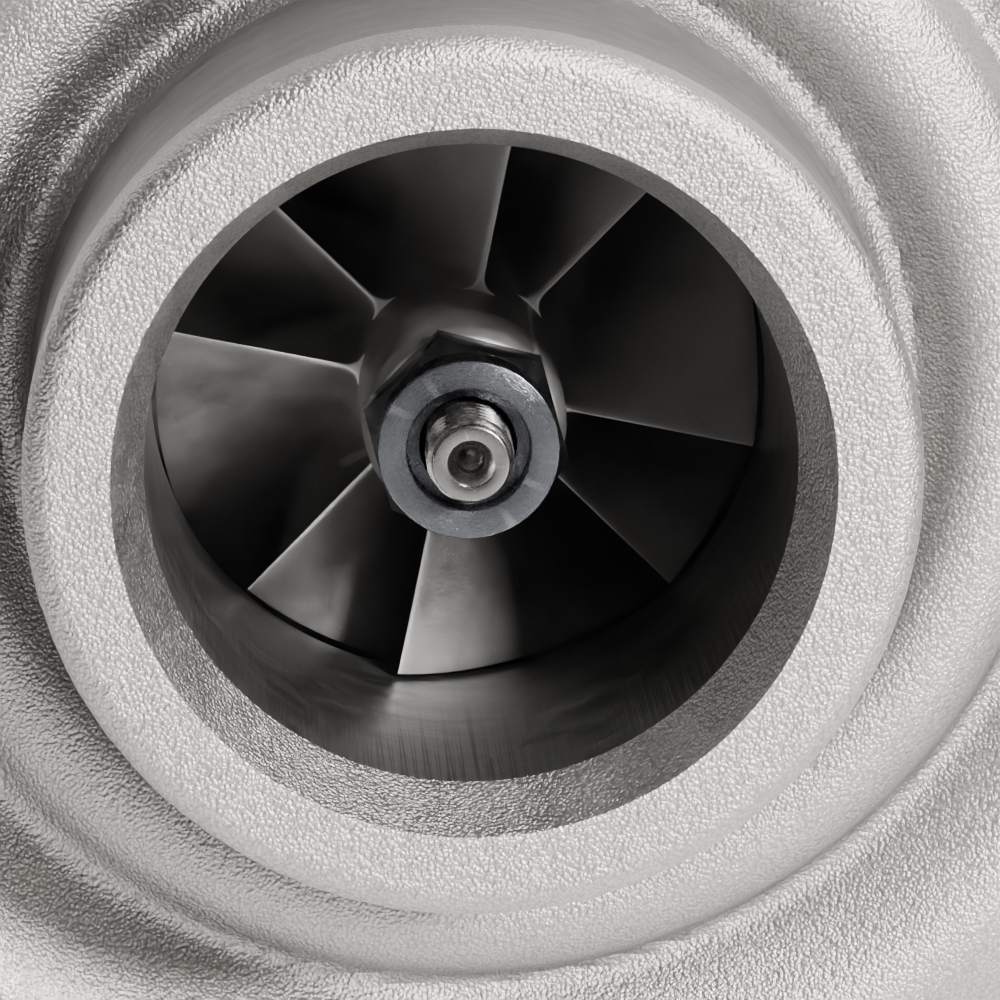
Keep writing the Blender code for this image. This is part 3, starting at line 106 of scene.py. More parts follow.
class Tree:
    """Short names for the nodes that the finishes are made of."""

    def __init__(self, name):
        self.material = bpy.data.materials.new(name)
        self.material.use_nodes = True
        self.nodes = self.material.node_tree.nodes
        self.links = self.material.node_tree.links
        self.shader = self.nodes["Principled BSDF"]
        self.place = self.nodes.new("ShaderNodeTexCoord").outputs["Object"]

    def feed(self, socket, value):
        if isinstance(value, bpy.types.NodeSocket):
            self.links.new(value, socket)
        else:
            socket.default_value = value

    def math(self, operation, a, b=0.0):
        node = self.nodes.new("ShaderNodeMath")
        node.operation = operation
        self.feed(node.inputs[0], a)
        self.feed(node.inputs[1], b)
        return node.outputs[0]

    def span(self, value, low, high, to_low=0.0, to_high=1.0):
        node = self.nodes.new("ShaderNodeMapRange")
        for socket, number in zip(node.inputs, (value, low, high, to_low, to_high)):
            self.feed(socket, number)
        return node.outputs[0]

    def swing(self, value, low=0.0, high=1.0):
        """A noise, which seldom leaves 0.3 to 0.7, spread from low to high."""
        return self.span(value, 0.3, 0.7, low, high)

    def mix(self, factor, a, b):
        node = self.nodes.new("ShaderNodeMix")
        node.data_type = "RGBA"
        for socket, value in ((0, factor), (6, a), (7, b)):
            self.feed(node.inputs[socket], value)
        return node.outputs[2]

    def over(self, tone, mask, strength, colour):
        """The tone, with a colour laid over it where the mask is 1."""
        return self.mix(self.math("MULTIPLY", mask, strength), tone, colour)

    def noise(self, feature, detail=2.0, roughness=0.5, place=None):
        """Noise whose features are this many millimetres across."""
        node = self.nodes.new("ShaderNodeTexNoise")
        self.feed(node.inputs["Vector"], place or self.place)
        node.inputs["Scale"].default_value = 1.0 / (feature * MM)
        node.inputs["Detail"].default_value = detail
        node.inputs["Roughness"].default_value = roughness
        return node.outputs["Fac"]

    def cells(self, feature):
        """Distance from the middle of packed grains this many millimetres across."""
        node = self.nodes.new("ShaderNodeTexVoronoi")
        self.links.new(self.place, node.inputs["Vector"])
        node.inputs["Scale"].default_value = 1.0 / (feature * MM)
        return node.outputs["Distance"]

    def edges(self, low, high):
        """0 on flat ground, 1 on outside edges."""
        geometry = self.nodes.new("ShaderNodeNewGeometry")
        return self.span(geometry.outputs["Pointiness"], low, high)

    def painted_hollow_shade(self, reach, low, high):
        """Ambient occlusion as a mask for painted shade: 0 deep in a hollow of about reach millimetres, 1 on
        open ground.
        """
        node = self.nodes.new("ShaderNodeAmbientOcclusion")
        node.samples = 6
        node.inputs["Distance"].default_value = reach * MM
        return self.span(node.outputs["AO"], low, high)

    def stretched(self, rotation, scale):
        """The place, turned and scaled, so that a noise on it becomes hairlines."""
        node = self.nodes.new("ShaderNodeMapping")
        self.links.new(self.place, node.inputs["Vector"])
        node.inputs["Rotation"].default_value = rotation
        node.inputs["Scale"].default_value = scale
        return node.outputs[0]

    def round_axis(self, centre, axis):
        """Radius, turn (drawn out, so that marks run round) and place along an axis, as a vector."""
        shift = self.nodes.new("ShaderNodeVectorMath")
        shift.operation = "SUBTRACT"
        self.links.new(self.place, shift.inputs[0])
        shift.inputs[1].default_value = centre * MM
        parts = self.nodes.new("ShaderNodeSeparateXYZ")
        self.links.new(shift.outputs[0], parts.inputs[0])
        along = "XYZ".index(axis)
        u, v = [parts.outputs[i] for i in range(3) if i != along]
        squares = self.math("ADD", self.math("MULTIPLY", u, u), self.math("MULTIPLY", v, v))
        radius = self.math("SQRT", squares)
        turn = self.math("ARCTAN2", v, u)
        join = self.nodes.new("ShaderNodeCombineXYZ")
        self.links.new(radius, join.inputs[0])
        self.links.new(self.math("MULTIPLY", turn, MARK_STRETCH), join.inputs[1])
        self.links.new(parts.outputs[along], join.inputs[2])
        return join.outputs[0]

    def bump(self, height, strength, size, normal=None):
        """Height in 0..1 lifted by size millimetres."""
        node = self.nodes.new("ShaderNodeBump")
        node.inputs["Strength"].default_value = strength
        node.inputs["Distance"].default_value = size * MM
        self.feed(node.inputs["Height"], height)
        if normal is not None:
            self.links.new(normal, node.inputs["Normal"])
        return node.outputs[0]

    def done(self, colour, roughness, metallic, normal):
        self.feed(self.shader.inputs["Base Color"], colour)
        self.feed(self.shader.inputs["Roughness"], roughness)
        self.shader.inputs["Metallic"].default_value = metallic
        self.links.new(normal, self.shader.inputs["Normal"])
        return self.material


def shade(colour, gain=1.0, lift=0.0):
    """A colour made lighter or darker, with its alpha."""
    return (*[min(1.0, c * gain + lift) for c in colour], 1.0)


def blasted_casting(name, light, dark, rough, grain=0.25, lift=0.085):
    """Cast skin after shot blasting: packed grains, rubbed edges, soft blotches, and painted shade that
    darkens its recesses.
    """
    t = Tree(name)
    grains = t.cells(grain)
    fine = t.noise(grain * 0.5, 2.0, 0.6)
    patch = t.noise(2.6, 2.0, 0.5)
    blotch = t.noise(9.0, 3.0, 0.6)
    tone = t.mix(t.swing(blotch), shade(dark), shade(light))
    tone = t.over(tone, t.span(fine, 0.45, 0.7), 0.6, shade(light, 1.22))
    tone = t.over(tone, t.swing(grains), 0.6, shade(dark, 0.62))
    tone = t.over(tone, t.edges(0.51, 0.58), 0.3, shade(light, 1.25))
    # painted shade: the tone goes dark in recesses, where the snout and the ridge shade each other
    tone = t.mix(t.painted_hollow_shade(14.0, 0.3, 0.92), shade(dark, 0.3), tone)
    roughness = t.math("ADD", t.swing(patch, rough - 0.04, rough + 0.04), t.swing(fine, -0.06, 0.06))
    height = t.math("SUBTRACT", t.math("MULTIPLY", fine, 0.8), grains)
    normal = t.bump(height, 1.0, lift)
    normal = t.bump(patch, 0.5, 0.05, normal)
    return t.done(tone, roughness, 1.0, normal)


def rough_iron(name, light, dark, rust, metallic, rough):
    """Grey iron casting with a coarser sand skin, blotches of heat tint and specks of rust."""
    t = Tree(name)
    sand = t.noise(0.55, 3.0, 0.6)
    lumps = t.noise(2.4, 2.0, 0.5)
    blotch = t.noise(14.0, 4.0, 0.6)
    tone = t.mix(t.swing(blotch), shade(dark), shade(light))
    tone = t.over(tone, t.span(t.noise(4.0, 5.0, 0.7), 0.52, 0.68), 0.55, shade(rust))
    tone = t.over(tone, t.edges(0.51, 0.6), 0.5, shade(light, 1.9))
    roughness = t.span(sand, 0.25, 0.75, rough - 0.12, rough + 0.1)
    normal = t.bump(sand, 0.9, 0.06)
    normal = t.bump(lumps, 0.5, 0.10, normal)
    return t.done(tone, roughness, metallic, normal)


def turned_metal(name, colour, rough, marks=0.05, lift=0.004, edge_wear_and_highlight=0.4):
    """Machined metal: fine turning marks round the shaft's axis, handling smears, and lighter edges: worn
    edges, with painted rim highlights where the edge setting is strong.
    """
    t = Tree(name)
    place = t.round_axis(SHAFT, "Y")
    rings = t.noise(marks, 2.0, 0.6, place)
    broad = t.noise(marks * 7.0, 2.0, 0.5, place)
    smear = t.noise(2.2, 4.0, 0.65)
    tone = t.mix(t.swing(broad), shade(colour, 0.85), shade(colour))
    tone = t.over(tone, t.span(smear, 0.45, 0.75), 0.2, shade(colour, 0.7))
    if edge_wear_and_highlight:
        # lighter edges: worn metal, and at strong settings a painted rim highlight
        tone = t.over(tone, t.edges(0.52, 0.62), edge_wear_and_highlight, shade(colour, 1.3, edge_wear_and_highlight * 0.1))
    roughness = t.math("ADD", t.swing(smear, rough - 0.04, rough + 0.07), t.swing(rings, -0.05, 0.05))
    normal = t.bump(rings, 0.8, lift)
    return t.done(tone, roughness, 1.0, normal)


def brushed_metal(name, colour, rough, tint=None, scratch=0.10, lift=0.006):
    """Plated or rolled steel: crossing hairline scratches, mottled plating, bright edges."""
    t = Tree(name)
    hair = t.noise(scratch, 2.0, 0.6, t.stretched((0.4, 0.9, 0.6), (1.0, 0.10, 1.0)))
    other = t.noise(scratch * 1.6, 2.0, 0.6, t.stretched((1.1, -0.5, 1.9), (0.08, 1.0, 1.0)))
    mottle = t.noise(1.3, 4.0, 0.65)
    second = shade(tint) if tint else shade(colour, 0.78)
    tone = t.mix(t.swing(mottle), shade(colour), second)
    tone = t.over(tone, t.span(hair, 0.5, 0.72), 0.35, shade(colour, 1.25))
    tone = t.over(tone, t.edges(0.51, 0.6), 0.5, shade(colour, 1.25))
    both = t.math("ADD", t.math("MULTIPLY", hair, 0.5), t.math("MULTIPLY", other, 0.5))
    gloss = t.span(both, 0.35, 0.65, rough - 0.05, rough + 0.08)
    roughness = t.math("ADD", gloss, t.swing(mottle, -0.03, 0.05))
    normal = t.bump(both, 0.9, lift)
    normal = t.bump(mottle, 0.4, lift * 1.5, normal)
    return t.done(tone, roughness, 1.0, normal)


def wheel_metal(name, colour, rough):
    """Satin, fine-blasted aluminium of the compressor wheel, with painted glints as bright specks and
    painted highlights along its thin blade edges.
    """
    t = Tree(name)
    grain = t.noise(0.11, 2.0, 0.6)
    cloud = t.noise(3.0, 3.0, 0.55)
    specks = t.span(t.noise(0.22, 2.0, 0.7), 0.66, 0.74)
    tone = t.mix(t.swing(cloud), shade(colour, 0.82), shade(colour))
    # painted glints: small specks nearly twice the metal's tone
    tone = t.over(tone, specks, 0.35, shade(colour, 1.9))
    # painted highlight: thin blade edges lightened to nearly twice the metal's tone
    tone = t.over(tone, t.edges(0.66, 0.80), 0.7, shade(colour, 1.9))
    roughness = t.math("ADD", t.swing(cloud, rough - 0.04, rough + 0.05), t.swing(grain, -0.06, 0.06))
    return t.done(tone, roughness, 1.0, t.bump(grain, 0.55, 0.006))


def rubber(name, colour, rough, rib=0.0):
    """Moulded rubber: fine matt skin, faint dust and, on the hose, a cloth-wrapped pattern."""
    t = Tree(name)
    skin = t.noise(0.35, 3.0, 0.6)
    dust = t.noise(5.0, 4.0, 0.6)
    tone = t.mix(t.span(dust, 0.35, 0.75), shade(colour), shade(colour, 1.9, 0.008))
    tone = t.over(tone, t.edges(0.52, 0.6), 0.4, shade(colour, 3.0, 0.01))
    roughness = t.swing(skin, rough - 0.08, rough + 0.08)
    normal = t.bump(skin, 0.7, 0.02)
    if rib:
        normal = t.bump(t.cells(rib), 0.8, 0.05, normal)
    return t.done(tone, roughness, 0.0, normal)


FINISH = {
    "cast_aluminium": blasted_casting("cast_aluminium_skin", (0.64, 0.625, 0.61), (0.54, 0.525, 0.51), 0.36),
    "machined_aluminium": turned_metal("machined_aluminium_skin", (0.62, 0.61, 0.60), 0.30),
    "wheel_aluminium": wheel_metal("wheel_aluminium_skin", (0.46, 0.455, 0.45), 0.52),
    "cast_iron": rough_iron(
        "cast_iron_skin", (0.17, 0.165, 0.16), (0.10, 0.097, 0.094), (0.17, 0.09, 0.05), 0.6, 0.56),
    "turbine_iron": rough_iron(
        "turbine_iron_skin", (0.20, 0.175, 0.155), (0.12, 0.105, 0.095), (0.22, 0.11, 0.06), 0.55, 0.62),
    "inconel": turned_metal("inconel_skin", (0.36, 0.32, 0.28), 0.40, marks=0.3),
    "shaft_steel": turned_metal("shaft_steel_skin", (0.66, 0.65, 0.64), 0.22, marks=0.06, lift=0.006),
    "plated_steel": brushed_metal("plated_steel_skin", (0.78, 0.78, 0.79), 0.17, (0.62, 0.64, 0.68)),
    "zinc_steel": brushed_metal("zinc_steel_skin", (0.72, 0.68, 0.56), 0.28, (0.60, 0.58, 0.50)),
    "stainless": brushed_metal("stainless_skin", (0.62, 0.60, 0.58), 0.27, (0.54, 0.50, 0.45)),
    "bronze": turned_metal("bronze_skin", (0.70, 0.44, 0.20), 0.28),
    "brass": turned_metal("brass_skin", (0.80, 0.60, 0.27), 0.24),
    "rubber": rubber("rubber_skin", (0.022, 0.022, 0.023), 0.62),
    "spring_steel": brushed_metal("spring_steel_skin", (0.38, 0.37, 0.37), 0.34),
}
MACHINED_IRON = turned_metal("machined_iron_skin", (0.42, 0.40, 0.38), 0.34, marks=0.18, lift=0.01)
MILLED_IRON = brushed_metal(
    "milled_iron_skin", (0.40, 0.37, 0.35), 0.36, (0.30, 0.27, 0.25), scratch=0.25, lift=0.01)
# painted shade: the inlet's machined bore is far darker than the cover's other machined faces, for the shade
# deep in the inlet
BORE = turned_metal("compressor_bore_skin", (0.27, 0.267, 0.263), 0.36, 0.3, 0.003, edge_wear_and_highlight=0.0)
# painted reflection: the nut's collar and face get a far darker steel than its flats, for the dark they
# reflect, and strong edge lightening paints rim highlights on both
NUT = turned_metal("compressor_nut_skin", (0.13, 0.136, 0.15), 0.24, 0.05, 0.03, edge_wear_and_highlight=0.9)
NUT_FLATS = turned_metal("nut_flats_skin", (0.44, 0.44, 0.45), 0.18, 0.08, 0.01, edge_wear_and_highlight=0.9)
# painted reflection: the shaft's end gets a much darker steel than the shaft's own, and strong edge
# lightening as a painted rim highlight
SHAFT_END = turned_metal("rotor_shaft_skin", (0.26, 0.255, 0.25), 0.24, 0.06, 0.008, edge_wear_and_highlight=0.9)
HOSE = rubber("boost_hose_skin", (0.02, 0.02, 0.021), 0.66, rib=0.9)


# ---------------------------------------------------------------- making meshes

def add_object(name, data):
    obj = bpy.data.objects.new(name, data)
    bpy.context.scene.collection.objects.link(obj)
    return obj


def new_object(name, vertices, faces):
    """A mesh object, with its vertices given in millimetres in the part's frame."""
    mesh = bpy.data.meshes.new(name)
    mesh.from_pydata((np.asarray(vertices, float) * MM).tolist(), [], faces)
    return add_object(name, mesh)


def tidy(obj, merge=0.0):
    """Merge doubled points (in millimetres) and turn every face outwards."""
    shape = bmesh.new()
    shape.from_mesh(obj.data)
    if merge:
        bmesh.ops.remove_doubles(shape, verts=shape.verts, dist=merge * MM)
    bmesh.ops.recalc_face_normals(shape, faces=shape.faces)
    shape.to_mesh(obj.data)
    shape.free()
    return obj


def arc(centre, radii, start, end, steps):
    angles = np.radians(np.linspace(start, end, steps + 1))
    return [(centre[0] + radii[0] * math.cos(a), centre[1] + radii[1] * math.sin(a)) for a in angles]


BLUNT = 155.0


def rounded(profile, radius, steps=3):
    """The closed profile with its corners off the axis rounded, apart from blunt ones."""
    made = []
    count = len(profile)
    for i in range(count):
        before, here, after = [Vector(profile[(i + k) % count]) for k in (-1, 0, 1)]
        back, on = before - here, after - here
        on_axis = here.x < TINY or back.length < TINY or on.length < TINY
        if on_axis or math.degrees(back.angle(on)) > BLUNT:
            made.append(tuple(here))
            continue
        reach = min(radius, back.length * 0.45, on.length * 0.45)
        start, end = here + back.normalized() * reach, here + on.normalized() * reach
        for k in range(steps + 1):
            t = k / steps
            made.append(tuple(start * (1 - t) ** 2 + here * 2 * t * (1 - t) + end * t * t))
    return made


def turned(name, profile, centre=SHAFT, axis="Y", steps=96):
    """A turned solid. profile is a closed ring of (radius, place along the axis)."""
    ring = np.array(profile, float)
    angles = np.arange(steps) * TAU / steps
    radius, along = ring[:, 0], ring[:, 1]
    across, up = np.outer(np.cos(angles), radius), np.outer(np.sin(angles), radius)
    level = np.tile(along, (steps, 1))
    parts = {"X": (level, across, up), "Y": (across, level, up), "Z": (across, up, level)}[axis]
    vertices = np.stack(parts, -1).reshape(-1, 3) + np.array(centre)
    count = len(ring)
    faces = []
    for s in range(steps):
        for i in range(count):
            j = (i + 1) % count
            if radius[i] < TINY and radius[j] < TINY:
                continue
            a, b = s * count, (s + 1) % steps * count
            faces.append((a + i, a + j, b + j, b + i))
    return tidy(new_object(name, vertices, faces), 1e-4)


def loft(name, sections, centre=SHAFT):
    """A closed skin over sections that all have the same number of points."""
    rings = np.array([[tuple(p) for p in section] for section in sections], float) + np.array(centre)
    rows, count = rings.shape[:2]
    faces = []
    for s in range(rows - 1):
        for i in range(count):
            j = (i + 1) % count
            faces.append((s * count + i, s * count + j, (s + 1) * count + j, (s + 1) * count + i))
    faces.append(tuple(range(count)))
    faces.append(tuple(range((rows - 1) * count, rows * count)))
    return tidy(new_object(name, rings.reshape(-1, 3), faces))


def extruded(name, outline, low, high, turn="Y", centre=SHAFT):
    """A prism over an outline. turn is the axis that it is extruded along."""
    order = {"Y": (0, 2, 1), "X": (1, 2, 0), "Z": (0, 1, 2)}[turn]
    rows = []
    for level in (low, high):
        for u, v in outline:
            point = [0.0, 0.0, 0.0]
            point[order[0]], point[order[1]], point[order[2]] = u, v, level
            rows.append(point)
    count = len(outline)
    faces = [tuple(range(count)), tuple(range(count, 2 * count))]
    for i in range(count):
        j = (i + 1) % count
        faces.append((i, j, count + j, count + i))
    return tidy(new_object(name, np.array(rows) + np.array(centre), faces))


def rectangle(half_u, half_v):
    return [(-half_u, -half_v), (half_u, -half_v), (half_u, half_v), (-half_u, half_v)]


def cylinder(name, radius, low, high, centre=SHAFT, axis="Y", steps=64):
    return turned(name, [(0.0, low), (radius, low), (radius, high), (0.0, high)], centre, axis, steps)


def disc(name, inner, outer, low, high, corner, centre, axis="Y"):
    """Disc, ring or pin with its corners rounded."""
    profile = [(inner, low), (outer, low), (outer, high), (inner, high)]
    return turned(name, rounded(profile, corner), centre, axis)


def bore(name, radius, low, high, mouth, centre=SHAFT, axis="Y", steps=64, chamfer=0.5):
    """Cutter for a hole from low to high that is chamfered where it comes out at mouth."""
    way = 1.0 if mouth > (low + high) / 2.0 else -1.0
    inner, outer = (low, high) if way > 0 else (high, low)
    profile = [
        (0.0, inner), (radius, inner), (radius, mouth - way * chamfer),
        (radius + chamfer + abs(outer - mouth), outer), (0.0, outer),
    ]
    return turned(name, profile, centre, axis, steps)


def hull(circles, steps=48):
    """Outline round a set of circles, each (x, y, radius), like a stretched band."""
    cloud = sorted(set(
        (round(x + r * c, 5), round(y + r * s, 5)) for x, y, r in circles for c, s in circle(steps)
    ))

    def half(points):
        chain = []
        for p in points:
            while len(chain) > 1 and turn_of(chain[-2], chain[-1], p) <= 0.001:
                chain.pop()
            chain.append(p)
        return chain[:-1]

    return half(cloud) + half(list(reversed(cloud)))


def turn_of(a, b, c):
    return (b[0] - a[0]) * (c[1] - a[1]) - (b[1] - a[1]) * (c[0] - a[0])


def tube(name, route, radius, sides=24, taper=0.0, centre=SHAFT):
    """A round bar along a route, with its frame carried along so that it never twists."""
    points = [Vector(p) for p in route]
    end = len(points) - 1
    ways = [(points[min(i + 1, end)] - points[max(i - 1, 0)]).normalized() for i in range(end + 1)]
    side = ways[0].orthogonal().normalized()
    sections = []
    for i, (point, way) in enumerate(zip(points, ways)):
        if i:
            side = (ways[i - 1].rotation_difference(way) @ side).normalized()
        up = way.cross(side)
        r = radius - (taper if i in (0, end) else 0.0)
        sections.append([point + side * (r * c) + up * (r * s) for c, s in circle(sides)])
    return loft(name, sections, centre)


def smooth_route(points, per_leg=14):
    """Catmull-Rom curve through the route's own points."""
    route = [Vector(p) for p in points]
    route = [route[0] * 2 - route[1]] + route + [route[-1] * 2 - route[-2]]
    drawn = []
    for i in range(1, len(route) - 2):
        p0, p1, p2, p3 = route[i - 1:i + 3]
        for k in range(per_leg):
            t = k / per_leg
            drawn.append(0.5 * (
                2 * p1 + (p2 - p0) * t + (2 * p0 - 5 * p1 + 4 * p2 - p3) * t * t
                + (3 * p1 - p0 - 3 * p2 + p3) * t ** 3
            ))
    drawn.append(route[-2])
    return drawn


THREAD_DEPTH = 0.54


def threaded(name, radius, low, high, pitch, centre=SHAFT, axis="Y", sides=48, per_turn=8):
    """A bar with a real helical thread, flat at its crest and root, and chamfered ends."""
    cut_depth = THREAD_DEPTH * pitch
    end_taper = 1.3 * cut_depth
    levels = np.arange(low, high + pitch / per_turn / 2.0, pitch / per_turn)
    levels[-1] = high
    sections = []
    for level in levels:
        ends = min(level - low, high - level)
        limit = radius - max(0.0, end_taper - ends)
        ring = []
        for k, (c, s) in enumerate(circle(sides)):
            phase = (level / pitch - k / sides) % 1.0
            groove = min(1.0, max(0.0, 1.7 * abs(2.0 * phase - 1.0) - 0.4))
            r = min(limit, radius - cut_depth * groove)
            u, v = r * c, r * s
            ring.append({"X": (level, u, v), "Y": (u, level, v), "Z": (u, v, level)}[axis])
        sections.append(ring)
    return loft(name, sections, centre)


CHAMFER_INSET = 0.25
CHAMFER_SLOPE = 0.62
CLEAR = 0.02


def hexagon(name, across, low, high, centre=SHAFT, axis="Y", turn=0.0, chamfers="low high"):
    """Hexagonal prism with its corners turned off at the ends that are named, like a nut's."""
    corner = across / math.sqrt(3.0)
    flat = across / 2.0 - CHAMFER_INSET
    corners = [TAU * i / 6 + turn for i in range(6)]
    outline = [(corner * math.cos(a), corner * math.sin(a)) for a in corners]
    prism = extruded(name, outline, low, high, axis, centre)
    slope = (corner - across / 2.0 + CHAMFER_INSET) * CHAMFER_SLOPE
    if "low" in chamfers:
        profile = [(0.0, low), (flat, low), (corner + CLEAR, low + slope)]
    else:
        profile = [(0.0, low - 1.0), (corner + 0.5, low - 1.0)]
    if "high" in chamfers:
        profile += [(corner + CLEAR, high - slope), (flat, high), (0.0, high)]
    else:
        profile += [(corner + 0.5, high + 1.0), (0.0, high + 1.0)]
    return boolean(prism, turned(name + "_round", profile, centre, axis, 96), "INTERSECT")


def bake(obj):
    """Turn the object's modifiers into its mesh."""
    bpy.context.view_layer.update()
    graph = bpy.context.evaluated_depsgraph_get()
    made = bpy.data.meshes.new_from_object(obj.evaluated_get(graph))
    obj.modifiers.clear()
    obj.data = made
    return obj


def boolean(obj, tool, operation, solver="MANIFOLD"):
    step = obj.modifiers.new(operation.lower(), "BOOLEAN")
    step.operation = operation
    step.solver = solver
    step.object = tool
    bake(obj)
    bpy.data.objects.remove(tool, do_unlink=True)
    return obj


def cut(obj, *tools):
    for tool in tools:
        boolean(obj, tool, "DIFFERENCE")
    return obj


def join(obj, *tools):
    for tool in tools:
        boolean(obj, tool, "UNION")
    return obj


def turn_piece(obj, degrees, centre=SHAFT):
    """Turn a piece made along +Z so that it points at an angle round the shaft."""
    place = Matrix.Translation(centre * MM)
    swing = Matrix.Rotation(math.radians(90.0 - degrees), 4, "Y")
    obj.data.transform(place @ swing @ place.inverted())
    return obj


def piece(obj, node, finish=None, crisp=30.0, edge=0.0, body=None):
    """Finish a fine mesh: smooth shading, soft edges, and what it stands for."""
    if not any(obj.data.materials):
        paint(obj, finish or FINISH[SLOT_OF[node]])
    obj.name = "fine_" + node
    obj.data.name = obj.name
    if edge:
        bevel = obj.modifiers.new("edges", "BEVEL")
        bevel.width = edge * MM
        bevel.segments = 2
        bevel.limit_method = "ANGLE"
        bevel.angle_limit = math.radians(crisp)
        bake(obj)
    obj.data.shade_smooth()
    obj.data.set_sharp_from_angle(angle=math.radians(crisp))
    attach(obj, body or BODY_OF[node])
    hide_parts(node)
    return obj


def paint(obj, material):
    """Give the whole mesh one finish."""
    obj.data.materials.clear()
    obj.data.materials.append(material)
    obj.data.polygons.foreach_set("material_index", [0] * len(obj.data.polygons))


def repaint(obj, material, test):
    """Give another finish to the faces whose middle (from the shaft) and normal pass the test."""
    obj.data.materials.append(material)
    index = len(obj.data.materials) - 1
    for face in obj.data.polygons:
        middle = face.center / MM - SHAFT
        if test(middle, face.normal):
            face.material_index = index


# ---------------------------------------------------------------- distance fields for castings

def smin(a, b, k):
    """Union of two fields with a fillet of about k."""
    h = np.maximum(k - np.abs(a - b), 0.0) / k
    return np.minimum(a, b) - h * h * k * 0.25


def smax(a, b, k):
    return -smin(-a, -b, k)


def turned_field(profile, reach, cell=0.2):
    """Distance from a turned profile, looked up in a table over radius and place."""
    ring = np.array(profile, float)
    low = ring[:, 1].min() - 6.0
    high = ring[:, 1].max() + 6.0
    rs = np.arange(0.0, reach + cell, cell)
    ys = np.arange(low, high + cell, cell)
    r, y = np.meshgrid(rs, ys, indexing="ij")
    away = np.full(r.shape, 1e9)
    inside = np.zeros(r.shape, bool)
    for a, b in zip(ring, np.roll(ring, -1, 0)):
        side = b - a
        if a[0] > TINY or b[0] > TINY:
            t = np.clip(((r - a[0]) * side[0] + (y - a[1]) * side[1]) / max(side @ side, 1e-12), 0.0, 1.0)
            away = np.minimum(away, np.hypot(r - a[0] - t * side[0], y - a[1] - t * side[1]))
        if a[1] != b[1]:
            crosses = (a[1] > y) != (b[1] > y)
            inside ^= crosses & (r < side[0] * (y - a[1]) / side[1] + a[0])
    table = np.where(inside, -away, away)

    def field(radius, place):
        u = np.clip(radius / cell, 0.0, len(rs) - 1.001)
        v = np.clip((place - low) / cell, 0.0, len(ys) - 1.001)
        i, j = u.astype(int), v.astype(int)
        fu, fv = u - i, v - j
        near = table[i, j] * (1 - fu) * (1 - fv) + table[i + 1, j] * fu * (1 - fv)
        near += table[i, j + 1] * (1 - fu) * fv + table[i + 1, j + 1] * fu * fv
        return near + np.abs(radius / cell - u) * cell + np.abs((place - low) / cell - v) * cell

    return field


def rod_field(across, up, along, radius, low, high, k=0.8):
    """Round bar: two coordinates from its centre line, and its place along it."""
    return smax(np.hypot(across, up) - radius, np.maximum(low - along, along - high), k)


def hull_field(u, v, circles, grow=0.0):
    """Distance from the band stretched round circles, each (u, v, radius)."""
    outline = hull(circles, 64)
    best = np.full(u.shape, -1e9, u.dtype)
    for (au, av), (bu, bv) in zip(outline, outline[1:] + outline[:1]):
        size = math.hypot(bu - au, bv - av)
        nu, nv = (bv - av) / size, (au - bu) / size
        best = np.maximum(best, (u - au) * nu + (v - av) * nv)
    return best - grow


def skin(name, field, low, high, cell):
    """Mesh over the zero level of a field: a point in each cell that it crosses, settled onto it."""
    axes = [np.arange(a, b + cell, cell) for a, b in zip(low, high)]
    value = field(*np.meshgrid(*axes, indexing="ij"))
    cells = np.array(value.shape) - 1
    total = np.zeros((*cells, 3), np.float32)
    count = np.zeros(cells, np.float32)
    edges = []
    for k in range(3):
        a = np.take(value, np.arange(cells[k]), axis=k)
        b = np.take(value, np.arange(1, cells[k] + 1), axis=k)
        spots = np.argwhere((a < 0.0) != (b < 0.0))
        first, second = a[tuple(spots.T)], b[tuple(spots.T)]
        point = spots.astype(float)
        point[:, k] += first / (first - second)
        o1, o2 = [m for m in range(3) if m != k]
        corners = []
        for d1, d2 in ((1, 1), (0, 1), (0, 0), (1, 0)):
            home = spots.copy()
            home[:, o1] -= d1
            home[:, o2] -= d2
            good = ((home >= 0) & (home < cells)).all(1)
            np.add.at(total, tuple(home[good].T), point[good])
            np.add.at(count, tuple(home[good].T), 1.0)
            corners.append(np.where(good[:, None], home, -1))
        edges.append((np.stack(corners, 1), (first < 0.0) ^ (k == 1)))
    used = np.argwhere(count > 0.0)
    number = np.full(cells, -1, int)
    number[tuple(used.T)] = np.arange(len(used))
    points = total[tuple(used.T)] / count[tuple(used.T)][:, None] * cell + np.array(low)
    for _ in range(4):
        points = settle(points, field, cell)
    faces = []
    for corners, flip in edges:
        whole = (corners >= 0).all((1, 2))
        corners, flip = corners[whole], flip[whole]
        quads = number[corners[..., 0], corners[..., 1], corners[..., 2]]
        quads[~flip] = quads[~flip][:, ::-1]
        faces.append(quads)
    return mend(new_object(name, points + np.array(SHAFT), np.concatenate(faces).tolist()))


def mend(obj):
    """Close the few places where two sheets of a casting share an edge, so that it can be cut."""
    shape = bmesh.new()
    shape.from_mesh(obj.data)
    for _ in range(4):
        bad = set(v for e in shape.edges if not e.is_manifold for v in e.verts)
        bad |= set(v for v in shape.verts if not v.is_manifold)
        if not bad:
            break
        bmesh.ops.delete(shape, geom=list(bad), context="VERTS")
        rim = [e for e in shape.edges if e.is_boundary]
        filled = bmesh.ops.holes_fill(shape, edges=rim, sides=0)
        bmesh.ops.triangulate(shape, faces=filled["faces"])
    bmesh.ops.recalc_face_normals(shape, faces=shape.faces)
    shape.to_mesh(obj.data)
    shape.free()
    return obj


def settle(points, field, cell):
    """Move points along the field's slope towards its zero level, at most 0.4 of a cell."""
    probe = 0.12
    here = field(*points.T)
    slope = np.stack([
        (field(*(points + step).T) - field(*(points - step).T)) / (2.0 * probe)
        for step in np.eye(3) * probe
    ], -1)
    size = np.maximum((slope ** 2).sum(-1), 0.2)
    move = -slope * (here / size)[:, None]
    length = np.maximum(np.linalg.norm(move, axis=1), 1e-9)
    return points + move * np.minimum(1.0, 0.4 * cell / length)[:, None]


